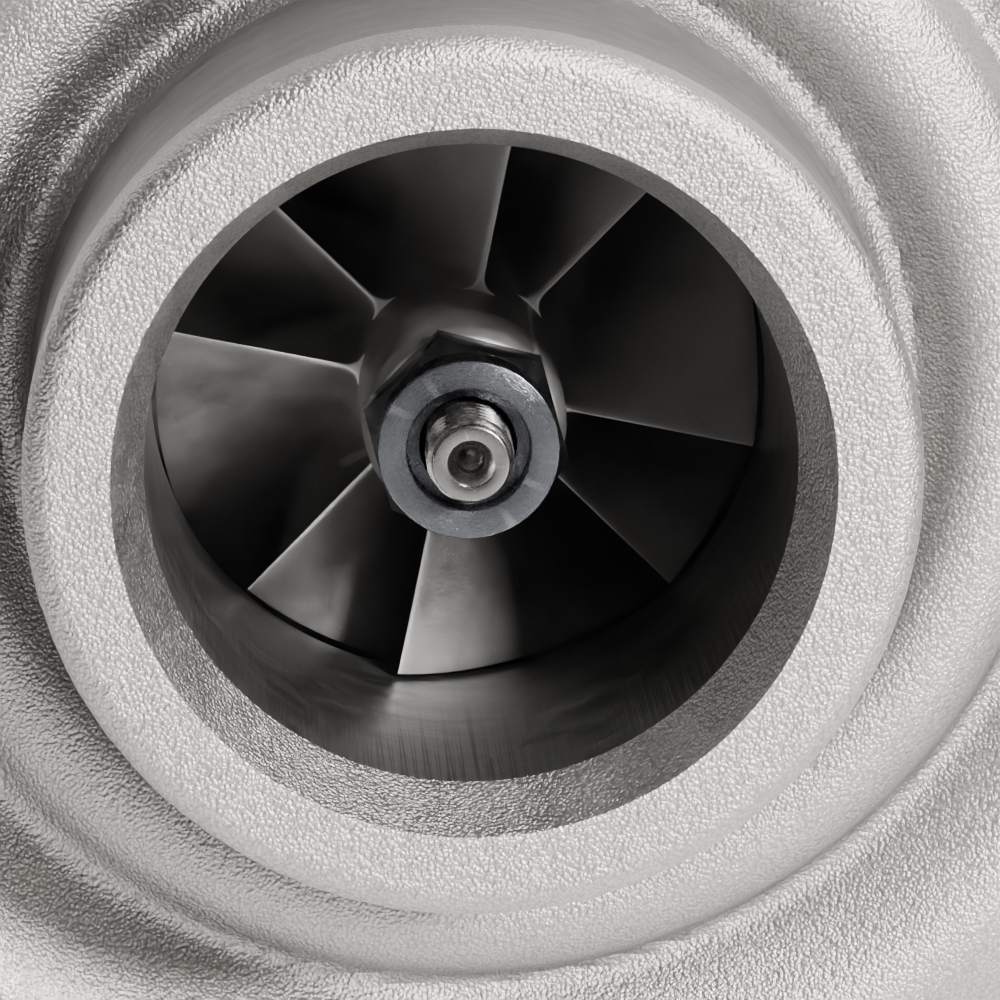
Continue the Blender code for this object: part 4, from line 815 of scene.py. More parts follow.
# ---------------------------------------------------------------- compressor cover

SCROLL_SWEEP = 295.0
BRACKET_ANGLE = 196.0
CLAMP_ANGLES = {"cover_clamp_upper": 76.0, "cover_clamp_lower": -44.0}
PAIR_SPREAD = 17.0
BOLT_ANGLES = [
    middle + side * PAIR_SPREAD for middle in (BRACKET_ANGLE, *CLAMP_ANGLES.values()) for side in (-1, 1)
]
BOLT_CIRCLE_R = 50.0
NIPPLE_ANGLE = 225.0
NIPPLE_Y = depth(33.0)
PIPE_X = -47.0
PIPE_Y = depth(30.5)
PIPE_HEIGHTS = (0.0, 14.0, 30.0, 44.0, 60.0)
PIPE_BORES = (12.0, 12.8, 14.2, 15.0, 15.0)
WALL = 2.5
THIN_WALL = 0.4
BEAD_HEIGHT = 54.2
SCROLL_BACK = 42.5
SCROLL_R = 35.0
MOUTH_R = 18.35
FACE_R = 20.1
FACE_DEPTH = 0.06
CONE_LENGTH = 5.14
BORE_DEPTH = 5.2
ROOT_DEPTH = 25.12


def ridge_profile():
    """Front of the cover from the snout's wall, through the valley and over the ridge."""
    root = arc((27.2, depth(21.0)), (2.05, 4.2), 180.0, 90.0, 10)
    shoulder = arc((32.4, depth(25.8)), (4.1, 3.3), 214.0, 350.0, 16)
    return root + shoulder + deep([(37.6, 29.2)])


def scroll_radius(share):
    """Radius of the scroll's passage; share runs from its tongue to its outlet."""
    return 4.5 + 7.5 * share


def cover_field(x, y, z):
    """Outside of the cover, thin-walled over the front of the scroll and 2.5 mm elsewhere."""
    r = np.hypot(x, z)
    body = COVER_CORE(r, y)
    angle = np.degrees(np.arctan2(z, x))
    share = np.clip(1.0 - (angle + 180.0) / SCROLL_SWEEP, 0.0, 1.0)
    inner = scroll_radius(share)
    front = np.clip((r - 38.0) / 8.0, 0.0, 1.0)
    wall = THIN_WALL + (WALL - THIN_WALL) * front * front * (3.0 - 2.0 * front)
    wall = np.where(y > depth(SCROLL_BACK) - inner, WALL, wall)
    scroll = np.hypot(r - SCROLL_R - inner, y - depth(SCROLL_BACK) + inner) - inner - wall
    pipe_r = np.interp(z, PIPE_HEIGHTS, PIPE_BORES) + WALL
    pipe_r += 0.9 * np.exp(-((z - BEAD_HEIGHT) / 1.3) ** 4)
    pipe = np.hypot(x - PIPE_X, y - PIPE_Y) - pipe_r
    pipe = np.maximum(pipe, -z)
    pipe = smax(pipe, z - 60.0, 0.5)
    outer = smin(scroll, pipe, 1.5)
    for bolt in BOLT_ANGLES:
        spot = polar(BOLT_CIRCLE_R, bolt)
        body = smin(body, rod_field(x - spot.x, z - spot.z, y, 6.2, depth(45.6), depth(54.0)), 2.2)
    out = polar(1.0, NIPPLE_ANGLE)
    along = x * out.x + z * out.z
    across = x * out.z - z * out.x
    outer = smin(outer, rod_field(across, y - NIPPLE_Y, along, 5.2, 40.0, 60.0), 3.0)
    return smin(body, outer, 2.2)


COVER_CORE = turned_field(
    deep([(0.0, 7.5), (24.3, 7.5), (24.3, 15.5)]) + ridge_profile()
    + deep([(42.5, 29.2), (48.0, 40.0), (53.2, 44.6), (54.0, 45.6), (54.0, 56.0), (0.0, 56.0)]),
    64.0,
)


def scroll_sections(points=40, steps=60):
    """The scroll's passage, growing towards the outlet pipe."""
    sections = []
    for i in range(steps):
        share = i / steps
        inner = scroll_radius(share)
        angle = -180.0 + SCROLL_SWEEP * (1.0 - share)
        sections.append([
            polar(SCROLL_R + inner + inner * c, angle, depth(SCROLL_BACK) - inner + inner * s)
            for c, s in circle(points)
        ])
    return sections


def pipe_sections(points=40):
    """The outlet pipe's bore, flaring out at its end."""
    sections = []
    for height in (0.0, 5.0, 10.0, 14.0, 20.0, 26.0, 30.0, 36.0, 44.0, 50.0, 57.4, 58.0, 62.0):
        radius = float(np.interp(height, PIPE_HEIGHTS, PIPE_BORES))
        radius += float(np.interp(height, (57.5, 58.0, 62.0), (0.0, 0.6, 4.6)))
        sections.append([
            Vector((PIPE_X - radius * c, PIPE_Y + radius * s, height)) for c, s in circle(points)
        ])
    return sections


def snout_tip():
    """The snout as its own fine turned mesh: mouth cone, flat face, rolled lip, wall and root."""
    lip = arc((23.3, depth(1.7)), (1.72, 1.64), 270.0, 360.0, 12)
    face = deep([(r, FACE_DEPTH) for r in np.linspace(FACE_R, 23.3, 12)[:-1]])
    wall = deep([(25.02, d) for d in (3.0, 5.0, 8.0, 12.0, 16.0)])
    root = arc((27.2, depth(21.0)), (2.18, 4.08), 180.0, 90.0, 24) + deep([(28.6, ROOT_DEPTH)])
    shares = np.linspace(1.0, 0.0, 17)[:-1]
    cone = deep([(MOUTH_R + (FACE_R - MOUTH_R) * (1 - t), FACE_DEPTH + CONE_LENGTH * t) for t in shares])
    middle = deep([(0.0, ROOT_DEPTH), (0.0, BORE_DEPTH)])
    return turned("snout_tip", middle + cone + face + lip + wall + root, steps=420)


def compressor_cover():
    """Casting with its snout added, and the wheel's room, passage and holes cut out of it."""
    cover = skin("cover", cover_field, (-65.0, depth(2.0), -60.0), (58.0, depth(58.0), 62.0), 0.75)
    join(cover, snout_tip())
    shroud = arc((25.35, depth(25.35)), (-7.0, 14.5), 0.0, 90.0, 24)
    room = deep([(0.0, 1.0), (MOUTH_R, 1.0), (MOUTH_R, BORE_DEPTH)]) + shroud + deep([
        (41.0, 39.85), (41.0, 43.5), (46.1, 43.5), (46.1, 51.6),
        (46.5, 52.0), (80.0, 52.0), (80.0, 60.0), (0.0, 60.0),
    ])
    cut(cover, turned("cover_room", room, steps=256))
    cut(cover, loft("passage", scroll_sections() + pipe_sections()))
    cut(cover, cylinder("pipe_top", 30.0, 58.0, 66.0, SHAFT + Vector((PIPE_X, PIPE_Y, 0.0)), "Z", 96))
    for i, angle in enumerate(BOLT_ANGLES):
        spot = SHAFT + polar(BOLT_CIRCLE_R, angle)
        cut(cover, bore(f"bolt_hole_{i}", 3.0, depth(46.6), depth(53.0), depth(52.0), spot, steps=32))
    tapping = SHAFT + Vector((0.0, NIPPLE_Y, 0.0))
    cut(cover, turn_piece(bore("nipple_hole", 2.3, 44.0, 62.0, 60.0, tapping, "Z", 32, 1.0), NIPPLE_ANGLE))
    paint(cover, FINISH["cast_aluminium"])
    # the bore inside the inlet gets the darkened machined finish: painted shade
    repaint(cover, BORE, lambda p, n: off_axis(p) < 25.5 and depth(5.3) < p.y < depth(40.2))
    repaint(cover, FINISH["machined_aluminium"], lambda p, n: (
        abs(n.y) > FLAT and p.y > depth(39.0) and off_axis(p) < 60.0 or n.z > FLAT and p.z > 57.5
    ))
    roughen(cover, 0.05)
    piece(cover, "compressor_cover", crisp=32.0)


def roughen(obj, size):
    """Lift the cast skin of the snout's tip unevenly, as the blasted casting is."""
    from_shaft = Matrix.Translation(-SHAFT * MM)
    lift = obj.vertex_groups.new(name="cast_skin")
    for vertex in obj.data.vertices:
        p = from_shaft @ vertex.co / MM
        if p.y < depth(6.0) and off_axis(p) > 18.36:
            lift.add([vertex.index], 1.0, "REPLACE")
    texture = bpy.data.textures.new("cast_skin", "CLOUDS")
    texture.noise_scale = 0.0011
    texture.noise_depth = 2
    step = obj.modifiers.new("cast_skin", "DISPLACE")
    step.texture = texture
    step.texture_coords = "LOCAL"
    step.vertex_group = "cast_skin"
    step.strength = size * 2.0 * MM
    step.mid_level = 0.5
    bake(obj)


# ---------------------------------------------------------------- compressor wheel and shaft end

EXDUCER_R = 25.0
LEAD_DEPTH = 25.7
LEAD_ANGLE = -11.9
BLADE_LENGTH = 30.0
NOSE_LENGTH = 2.2
TIP_OF_NOSE = 0.25
ROOT_FILLET = 1.0
SPLITTER_DEPTH = 28.0


def contour(share, span):
    """Radius and depth between hub (span 0) and shroud (span 1); share runs from inlet to exit."""
    turn = share * math.pi / 2.0
    hub = (EXDUCER_R - 19.0 * math.cos(turn), LEAD_DEPTH + 16.5 * math.sin(turn))
    tip = (EXDUCER_R - 7.0 * math.cos(turn), LEAD_DEPTH + 14.5 * math.sin(turn))
    return (hub[0] + (tip[0] - hub[0]) * span, hub[1] + (tip[1] - hub[1]) * span)


def wrap_angle(share):
    return 55.0 * (1.0 - (1.0 - share) ** 2) + 15.0 * share


def wheel_blade(name, first_angle, first_share):
    """One blade: thin at its rounded leading edge and its tip, with a fillet down into the hub."""
    length = BLADE_LENGTH * (1.0 - first_share)
    nose = [0.0, 0.03, 0.10, TIP_OF_NOSE, 0.6, 1.2, NOSE_LENGTH]
    shares = [first_share + (1.0 - first_share) * d / length for d in nose]
    shares += list(np.linspace(shares[-1], 1.0, 34)[1:])
    spans = [-0.10, 0.0, 0.015, 0.03, 0.05, 0.075, 0.11, 0.2, 0.35, 0.5, 0.65, 0.8, 0.92, 0.985, 1.0]
    sections = []
    for share, distance in zip(shares, nose + [length] * len(shares)):
        nose_shape = min(1.0, 0.34 + 0.66 * min(1.0, distance / NOSE_LENGTH) ** 0.6)
        if distance < TIP_OF_NOSE:
            nose_shape *= math.sqrt(max(0.0, 1.0 - (1.0 - distance / TIP_OF_NOSE) ** 2)) * 0.9 + 0.1
        height = math.dist(contour(share, 0.0), contour(share, 1.0))
        side = {-1: [], 1: []}
        for span in spans:
            radius, place = contour(share, span)
            thick = float(np.interp(span, (0.0, 0.5, 1.0), (0.42, 0.34, 0.24))) * nose_shape
            above = max(0.0, span) * height / 1.1
            if above < ROOT_FILLET:
                thick += ROOT_FILLET - math.sqrt(1.0 - (ROOT_FILLET - above) ** 2)
            if span == 1.0:
                thick *= 0.55
            for sign in (-1, 1):
                shift = math.degrees(sign * thick / radius)
                side[sign].append(polar(radius, first_angle + wrap_angle(share) + shift, depth(place)))
        sections.append(side[-1] + list(reversed(side[1])))
    return loft(name, sections)


def compressor_wheel():
    """Hub and back disc with four full blades and four splitters between them."""
    hub = arc((EXDUCER_R, depth(LEAD_DEPTH)), (-19.0, 16.5), 0.0, 90.0, 32)
    profile = rounded(deep([(3.15, 15.0), (5.3, 15.0), (5.9, 16.0), (6.0, 20.0)]), 0.3) + hub
    profile += deep([(24.9, 42.4), (25.0, 42.6), (25.0, 43.0), (24.8, 43.2), (3.15, 43.2)])
    wheel = turned("wheel", profile, steps=180)
    split_share = math.asin((SPLITTER_DEPTH - LEAD_DEPTH) / 14.5) / (math.pi / 2.0)
    for k in range(4):
        join(wheel, wheel_blade(f"full_{k}", LEAD_ANGLE + k * 90.0, 0.0))
        join(wheel, wheel_blade(f"splitter_{k}", LEAD_ANGLE + k * 90.0 + 45.0, split_share))
    piece(wheel, "compressor_wheel", crisp=38.0)


def compressor_nut():
    """Nut with a round collar in front of its hexagon."""
    front = deep([(3.5, 9.35), (5.2, 9.35), (5.2, 11.95), (2.8, 11.95), (2.8, 11.45), (3.5, 11.45)])
    nut = turned("nut", rounded(front, 0.16), steps=128)
    body = hexagon("nut_body", 10.6, depth(10.85), depth(14.7), turn=math.radians(-15.0), chamfers="")
    cone = deep([(0.0, 10.85), (4.75, 10.85), (5.0, 11.25), (6.2, 13.2), (6.2, 16.0), (0.0, 16.0)])
    boolean(body, turned("nut_cone", cone, steps=128), "INTERSECT")
    cut(body, cylinder("nut_bore", 2.8, depth(8.0), depth(16.0)))
    join(nut, body)
    # the collar and face take the darkened nut steel: a painted dark reflection
    paint(nut, NUT)
    repaint(nut, NUT_FLATS, lambda p, n: p.y > depth(10.9) and off_axis(p) > 4.0)
    piece(nut, "compressor_nut", crisp=25.0, edge=0.12)


def rotor_shaft():
    """Shaft with a centre drilling and a thread at its inlet end, and a ring groove behind."""
    drilling = deep([(0.0, 8.8), (0.5, 8.0), (0.75, 7.6), (0.8, 6.9), (1.2, 6.2), (1.35, 6.0)])
    front = deep([(2.1, 6.0), (2.22, 6.1), (2.22, 14.0), (3.0, 14.9)])
    back = [
        (3.0, -50.6), (4.0, -50.6), (4.0, -20.6), (8.0, -20.6), (8.0, -19.0), (6.6, -19.0), (6.6, -17.2),
        (8.0, -17.2), (8.0, -12.1), (5.0, -12.1), (5.0, -11.9), (0.0, -11.9),
    ]
    shaft = turned("shaft", rounded(drilling + front + back, 0.08, 2), steps=96)
    thread = threaded("shaft_thread", 2.5, depth(6.35), depth(14.3), 0.8)
    cut(thread, cylinder("thread_bore", 2.0, depth(5.0), depth(15.0), steps=96))
    join(shaft, thread)
    # the shaft takes the darkened end steel: a painted dark reflection
    piece(shaft, "rotor_shaft", SHAFT_END, crisp=28.0)


# ---------------------------------------------------------------- centre housing

PORTS_Y = -41.5
WATER_Z = 6.0
BORE_R = 6.48

CENTRE_CORE = turned_field([
    (0.0, -60.9), (45.4, -60.9), (45.7, -60.6), (45.7, -56.3), (45.4, -56.0),
    (41.0, -56.0), (37.0, -54.0), (30.0, -53.0), (25.0, -50.0), (24.0, -44.0), (24.0, -35.0),
    (27.0, -30.0), (31.0, -28.0), (34.6, -27.3), (35.0, -26.9), (35.0, -23.3), (26.7, -23.3),
    (26.7, -15.0), (0.0, -15.0),
], 50.0)


def centre_field(x, y, z):
    """Spool with an oil feed pad on top, an oil drain pad below and a water boss on each side."""
    body = CENTRE_CORE(np.hypot(x, z), y)
    along = y - PORTS_Y
    top = hull_field(x, along, [(-11.0, 0.0, 6.0), (11.0, 0.0, 6.0), (0.0, 0.0, 9.5)])
    top = smax(top, np.maximum(z - 37.0, 15.0 - z), 0.9)
    low = hull_field(x, along, [(-16.0, 0.0, 7.0), (16.0, 0.0, 7.0), (0.0, 0.0, 10.4)])
    low = smax(low, np.maximum(-z - 40.0, z + 16.0), 0.9)
    side = rod_field(along, z - WATER_Z, np.abs(x), 9.0, 12.0, 36.0, 0.9)
    pads = smin(smin(top, low, 2.0), side, 3.0)
    middle = smin(body, pads, 4.0)
    clear = np.maximum(-56.2 - y, y + 28.2)
    return np.where(clear > 0.0, np.minimum(body, smax(middle, clear, 0.3)), np.minimum(middle, body))


def centre_housing():
    """Casting with the bearing bore, thrust recess, oil and water ports and screw holes."""
    housing = skin("centre", centre_field, (-48.0, -63.0, -48.0), (48.0, -13.0, 48.0), 0.75)
    bores = [
        (0.0, -64.0), (19.0, -64.0), (16.1, -60.5), (16.1, -50.6), (BORE_R, -50.6), (BORE_R, -42.2),
        (10.0, -41.0), (10.0, -31.0), (BORE_R, -29.8), (BORE_R, -21.0), (8.35, -21.0), (8.35, -13.0),
        (0.0, -13.0),
    ]
    cut(housing, turned("bores", bores))
    at = SHAFT + Vector((0.0, PORTS_Y, 0.0))
    cut(housing, bore("oil_feed", 2.5, 8.0, 38.0, 37.0, at, "Z", 40))
    cut(housing, bore("oil_drain", 8.0, -41.0, -6.0, -40.0, at, "Z"))
    for side in (-1, 1):
        low, high = sorted((side * 17.0, side * 37.0))
        feed, drain = [at + Vector((side * spread, 0.0, 0.0)) for spread in (11.0, 16.0)]
        water = at + Vector((0.0, 0.0, WATER_Z))
        cut(housing, bore(f"water_{side}", 5.2, low, high, side * 36.0, water, "X"))
        cut(housing, bore(f"feed_screw_{side}", 2.6, 30.0, 38.0, 37.0, feed, "Z", 32))
        cut(housing, bore(f"drain_screw_{side}", 3.4, -41.0, -30.0, -40.0, drain, "Z", 32))
    paint(housing, FINISH["cast_iron"])
    repaint(housing, MILLED_IRON, lambda p, n: (
        n.z > FLAT and p.z > 36.8 or n.z < -FLAT and p.z < -39.8 or abs(n.x) > FLAT and abs(p.x) > 35.8
    ))
    repaint(housing, MACHINED_IRON, lambda p, n: (
        p.y < -55.9 or p.y > -28.2 and off_axis(p) > 26.0
        or math.hypot(p.y - PORTS_Y, p.z - WATER_Z) < 5.6 and abs(p.x) > 18.0
        or math.hypot(p.x, p.y - PORTS_Y) < 8.4 and p.z < -20.0
    ))
    piece(housing, "centre_housing", crisp=34.0)


# ---------------------------------------------------------------- turbine housing

DUCT_X = -41.5
DUCT_R = 14.5
TURBINE_SCROLL_R = 27.0
TURBINE_WALL = 3.0
CHAMBER = (-35.0, -22.0)
PORT = (-37.0, -22.0)
SPINDLE = Vector((0.0, 24.0, -35.5))


def stud_places():
    """Four studs round the outlet chamber, two at each of its ends."""
    along = Vector((CHAMBER[0], 0.0, CHAMBER[1])).normalized()
    across = Vector((-along.z, 0.0, along.x))
    return [
        along * -18.0 + across * 28.0, along * -18.0 - across * 28.0,
        along * 46.0 + across * 26.5, along * 46.0 - across * 26.5,
    ]


TURBINE_CORE = turned_field([
    (0.0, -23.0), (34.6, -23.0), (35.0, -22.6), (35.0, -20.1), (34.7, -19.8), (31.0, -17.5),
    (31.0, 14.6), (0.0, 14.6),
], 50.0)


def turbine_scroll_radius(share):
    """Radius of the turbine's passage; share runs from the inlet duct to the tongue."""
    return DUCT_R - 8.0 * share


def turbine_field(x, y, z):
    """Outside of the scroll, its inlet duct and foot, the outlet chamber and its flange."""
    r = np.hypot(x, z)
    core = TURBINE_CORE(r, y)
    angle = np.degrees(np.arctan2(z, x))
    share = np.clip((180.0 - angle) / SCROLL_SWEEP, 0.0, 1.0)
    inner = turbine_scroll_radius(share)
    scroll = np.hypot(r - TURBINE_SCROLL_R - inner, y) - inner - TURBINE_WALL
    duct = np.maximum(np.hypot(x - DUCT_X, y) - (DUCT_R + TURBINE_WALL), z)
    duct = smax(duct, -z - 60.0, 0.5)
    body = smin(core, smin(scroll, duct, 2.0), 3.0)
    room = hull_field(x, z, [(0.0, 0.0, 23.0), (*CHAMBER, 18.0)], 3.5)
    chamber = smax(room, np.maximum(8.0 - y, y - 42.8), 0.8)
    body = smin(body, chamber, 4.0)
    bush = rod_field(y - SPINDLE.y, z - SPINDLE.z, -x, 8.5, 40.0, 58.0)
    body = smin(body, bush, 2.5)
    flange = hull_field(x, z, [(p.x, p.z, 7.5) for p in stud_places()])
    flange = smax(flange, np.maximum(35.0 - y, y - 43.0), 0.9)
    body = smin(body, flange, 2.5)
    foot_u = np.abs(x - DUCT_X) - 24.0
    foot_v = np.abs(y) - 20.0
    beyond = np.hypot(np.maximum(foot_u, 0.0), np.maximum(foot_v, 0.0))
    foot = beyond + np.minimum(np.maximum(foot_u, foot_v), 0.0) - 8.0
    foot = smax(foot, np.maximum(-z - 63.0, z + 52.0), 1.0)
    return smin(body, foot, 3.0)


def volute_sections(points=40, steps=60):
    """The gas passage, up through the foot and round the wheel."""
    sections = []
    for height in (-66.0, -62.0, -50.0, -36.0, -24.0, -12.0):
        sections.append([Vector((DUCT_X - DUCT_R * c, DUCT_R * s, height)) for c, s in circle(points)])
    for i in range(steps + 1):
        share = i / steps
        inner = turbine_scroll_radius(share)
        angle = 180.0 - SCROLL_SWEEP * share
        sections.append([
            polar(TURBINE_SCROLL_R + inner + inner * c, angle, inner * s) for c, s in circle(points)
        ])
    return sections


def turbine_housing():
    """Casting with its faces, passage, wheel room, outlet chamber and holes cut out of it."""
    housing = skin("turbine", turbine_field, (-80.0, -32.0, -64.0), (54.0, 44.5, 52.0), 0.85)
    cut(housing, extruded("inlet_face", rectangle(90.0, 50.0), -70.0, -62.0, "Z"))
    cut(housing, extruded("outlet_face", rectangle(90.0, 90.0), 42.0, 50.0, "Y"))
    cut(housing, turned("joint_face", [(27.0, -50.0), (60.0, -50.0), (60.0, -23.0), (27.0, -23.0)]))
    ring = [(35.0, -50.0), (44.0, -50.0), (44.0, -19.0), (37.5, -19.0), (35.0, -19.8)]
    cut(housing, turned("joint_ring", ring))
    cut(housing, loft("volute", volute_sections()))
    room = [
        (0.0, -40.0), (27.4, -40.0), (27.4, -11.4), (32.0, -10.4), (32.0, -3.4), (24.5, -3.3),
        *arc((24.5, 9.0), (-4.0, -12.2), 90.0, 0.0, 20)[1:], (20.5, 21.5), (0.0, 21.5),
    ]
    cut(housing, turned("wheel_room", room, steps=160))
    cut(housing, extruded("hollow", hull([(0.0, 0.0, 23.0), (*CHAMBER, 18.0)], 96), 18.5, 50.0, "Y"))
    port = SHAFT + Vector((PORT[0], 0.0, PORT[1]))
    cut(housing, bore("wastegate_port", 8.5, 4.0, 19.5, 18.5, port, chamfer=0.8))
    spindle = SHAFT + SPINDLE
    cut(housing, cylinder("bush_hole", 5.8, -60.0, -36.0, spindle, "X"))
    for i, place in enumerate(stud_places()):
        cut(housing, bore(f"stud_hole_{i}", 4.3, 30.0, 43.0, 42.0, SHAFT + place, steps=40))
    for sx in (-1, 1):
        for sy in (-1, 1):
            spot = Vector((sx * 23.0, sy * 19.0, 0.0))
            cut(housing, bore(f"flange_hole_{sx}_{sy}", 4.4, -1.0, 14.0, 0.0, spot, "Z", 40, 0.6))
    paint(housing, FINISH["turbine_iron"])
    repaint(housing, MILLED_IRON, lambda p, n: (
        n.y > FLAT and (p.y > 41.8 or 18.3 < p.y < 18.7) or n.z < -FLAT and p.z < -61.8
    ))
    repaint(housing, MACHINED_IRON, lambda p, n: (
        p.y < -18.0 and off_axis(p) > 27.0 or off_axis(p) < 25.0 and p.y < 18.3
    ))
    piece(housing, "turbine_housing", crisp=34.0)


# ---------------------------------------------------------------- turbine wheel, shield and V-band

def turbine_blade(name, first_angle, steps=24):
    """Radial at its inlet, and swept back round the hub towards its exit."""
    sections = []
    for i in range(steps + 1):
        share = i / steps
        turn = share * math.pi / 2.0
        tip = (24.0 - 4.0 * math.sin(turn), -3.6 + 12.6 * (1.0 - math.cos(turn)))
        root = (20.0 - 15.2 * math.sin(turn), -11.0 + 21.0 * (1.0 - math.cos(turn)))
        side = {-1: [], 1: []}
        for span in (0.0, 0.15, 0.22, 0.3, 0.45, 0.6, 0.8, 0.96, 1.0):
            radius = root[0] + (tip[0] - root[0]) * span
            place = root[1] + (tip[1] - root[1]) * span
            thick = float(np.interp(span, (0.0, 0.22, 0.4, 1.0), (1.5, 0.75, 0.55, 0.35)))
            if i in (0, steps):
                thick *= 0.5
            swept = 34.0 * share ** 2 * (0.4 + 0.6 * span)
            for sign in (-1, 1):
                shift = math.degrees(sign * thick / radius)
                side[sign].append(polar(radius, first_angle - swept + shift, place))
        sections.append(side[-1] + list(reversed(side[1])))
    return loft(name, sections)


def turbine_wheel():
    """Hub with ten blades and the hexagon that it is held by for the nut."""
    hub = arc((22.0, 4.6), (-16.0, -15.0), 90.0, 0.0, 24)
    profile = [(0.0, -11.6), (21.7, -11.6), (22.0, -11.3)] + hub
    profile += [(6.0, 12.7), (5.6, 13.2), (3.6, 14.0), (0.0, 14.0)]
    wheel = turned("turbine", profile, steps=120)
    for k in range(10):
        join(wheel, turbine_blade(f"turbine_blade_{k}", 36.0 * k))
    join(wheel, hexagon("turbine_hexagon", 9.0, 12.0, 17.5, chamfers="high"))
    piece(wheel, "turbine_wheel", crisp=35.0)


BAND_ANGLE = 52.0


def vband():
    """Rolled channel ring over the two joined flanges, with a bolt through its two lugs."""
    low, high = -27.3, -19.8
    middle = (low + high) / 2.0
    profile = rounded([
        (32.8, low - 1.9), (35.4, low - 0.35), (35.4, high + 0.35), (33.2, high + 1.4), (34.2, high + 2.4),
        (37.0, high + 1.0), (37.0, low - 1.0), (33.8, low - 2.9),
    ], 0.6)
    band = turned("band", profile, steps=200)
    outline = [(-9.0, 36.2), (-8.2, 46.2), (-7.2, 47.0), (7.2, 47.0), (8.2, 46.2), (9.0, 36.2)]
    lugs = extruded("lugs", outline, middle - 4.0, middle + 4.0)
    split = extruded("split", [(-3.0, 30.0), (3.0, 30.0), (3.0, 50.0), (-3.0, 50.0)], low - 5.0, high + 5.0)
    for part in (lugs, split):
        turn_piece(part, BAND_ANGLE)
    join(band, lugs)
    cut(band, split)
    at = SHAFT + Vector((0.0, middle, 41.8))
    cut(band, turn_piece(cylinder("band_hole", 3.1, -12.0, 12.0, at, "X", 40), BAND_ANGLE))
    piece(band, "vband_clamp", crisp=32.0, edge=0.25)
    bolt = hexagon("band_bolt", 9.0, 9.3, 13.3, at, "X", chamfers="high")
    join(bolt, threaded("band_thread", 2.7, -17.0, 10.0, 1.0, at, "X"))
    piece(turn_piece(bolt, BAND_ANGLE), "vband_bolt", crisp=25.0, edge=0.12)
    nut = hexagon("band_nut", 9.5, -14.3, -9.3, at, "X")
    cut(nut, cylinder("band_nut_hole", 2.95, -20.0, -5.0, at, "X", 40))
    piece(turn_piece(nut, BAND_ANGLE), "vband_nut", crisp=25.0, edge=0.12)


def outlet_studs():
    for i, place in enumerate(stud_places()):
        stud = threaded(f"stud_{i}", 4.0, 32.0, 59.8, 1.25, SHAFT + place, sides=56)
        shoulder = [(0.0, 40.0), (4.0, 40.0), (4.0, 43.6), (3.4, 44.6), (0.0, 44.6)]
        waist = turned("waist", shoulder, SHAFT + place)
        piece(join(stud, waist), f"outlet_stud_{i + 1}", crisp=28.0)


# ---------------------------------------------------------------- plates and bolts behind the cover

def ring_plate(name, middle):
    """Arc-shaped steel plate with rounded corners and a hole for each of its pair of bolts."""
    spread = 25.0
    outer = arc((0.0, 0.0), (55.0, 55.0), middle - spread, middle + spread, 40)
    inner = arc((0.0, 0.0), (42.0, 42.0), middle + spread, middle - spread, 40)
    ends = []
    for side in (1, -1):
        for radius, degrees in ((54.0, 0.7), (52.0, 1.0), (45.0, 1.0), (43.0, 0.7)):
            spot = polar(radius, middle + side * (spread + degrees))
            ends.append((spot.x, spot.z))
    outline = outer + ends[:4] + inner + ends[:3:-1]
    plate = extruded(name, outline, depth(52.3), depth(55.5))
    for side in (-1, 1):
        spot = SHAFT + polar(BOLT_CIRCLE_R, middle + side * PAIR_SPREAD)
        cut(plate, cylinder("plate_hole", 3.1, depth(50.0), depth(58.0), spot, steps=40))
    return plate


def clamps_and_bolts():
    for node, middle in CLAMP_ANGLES.items():
        piece(ring_plate(node + "_plate", middle), node, crisp=35.0, edge=0.35)
    for i, angle in enumerate(BOLT_ANGLES):
        spot = SHAFT + polar(BOLT_CIRCLE_R, angle)
        bolt = hexagon(f"bolt_{i}", 9.0, depth(55.8), depth(60.0), spot, turn=0.4 * i, chamfers="high")
        washer = disc("washer_face", 0.0, 4.3, depth(55.8), depth(56.3), 0.1, spot)
        join(bolt, washer, threaded("bolt_thread", 2.7, depth(47.0), depth(57.0), 1.0, spot))
        dimple = turned("dimple", deep([(0.0, 59.6), (2.3, 59.6), (3.0, 61.0), (0.0, 61.0)]), spot)
        piece(cut(bolt, dimple), f"cover_bolt_{i + 1}", crisp=25.0, edge=0.12)


# ---------------------------------------------------------------- wastegate

LEVER_X = -63.4
LEVER_ARM = 16.0
LEVER_TILT = math.radians(15.0)
PIN_Y = SPINDLE.y - LEVER_ARM * math.sin(LEVER_TILT)
PIN_Z = SPINDLE.z + LEVER_ARM * math.cos(LEVER_TILT)


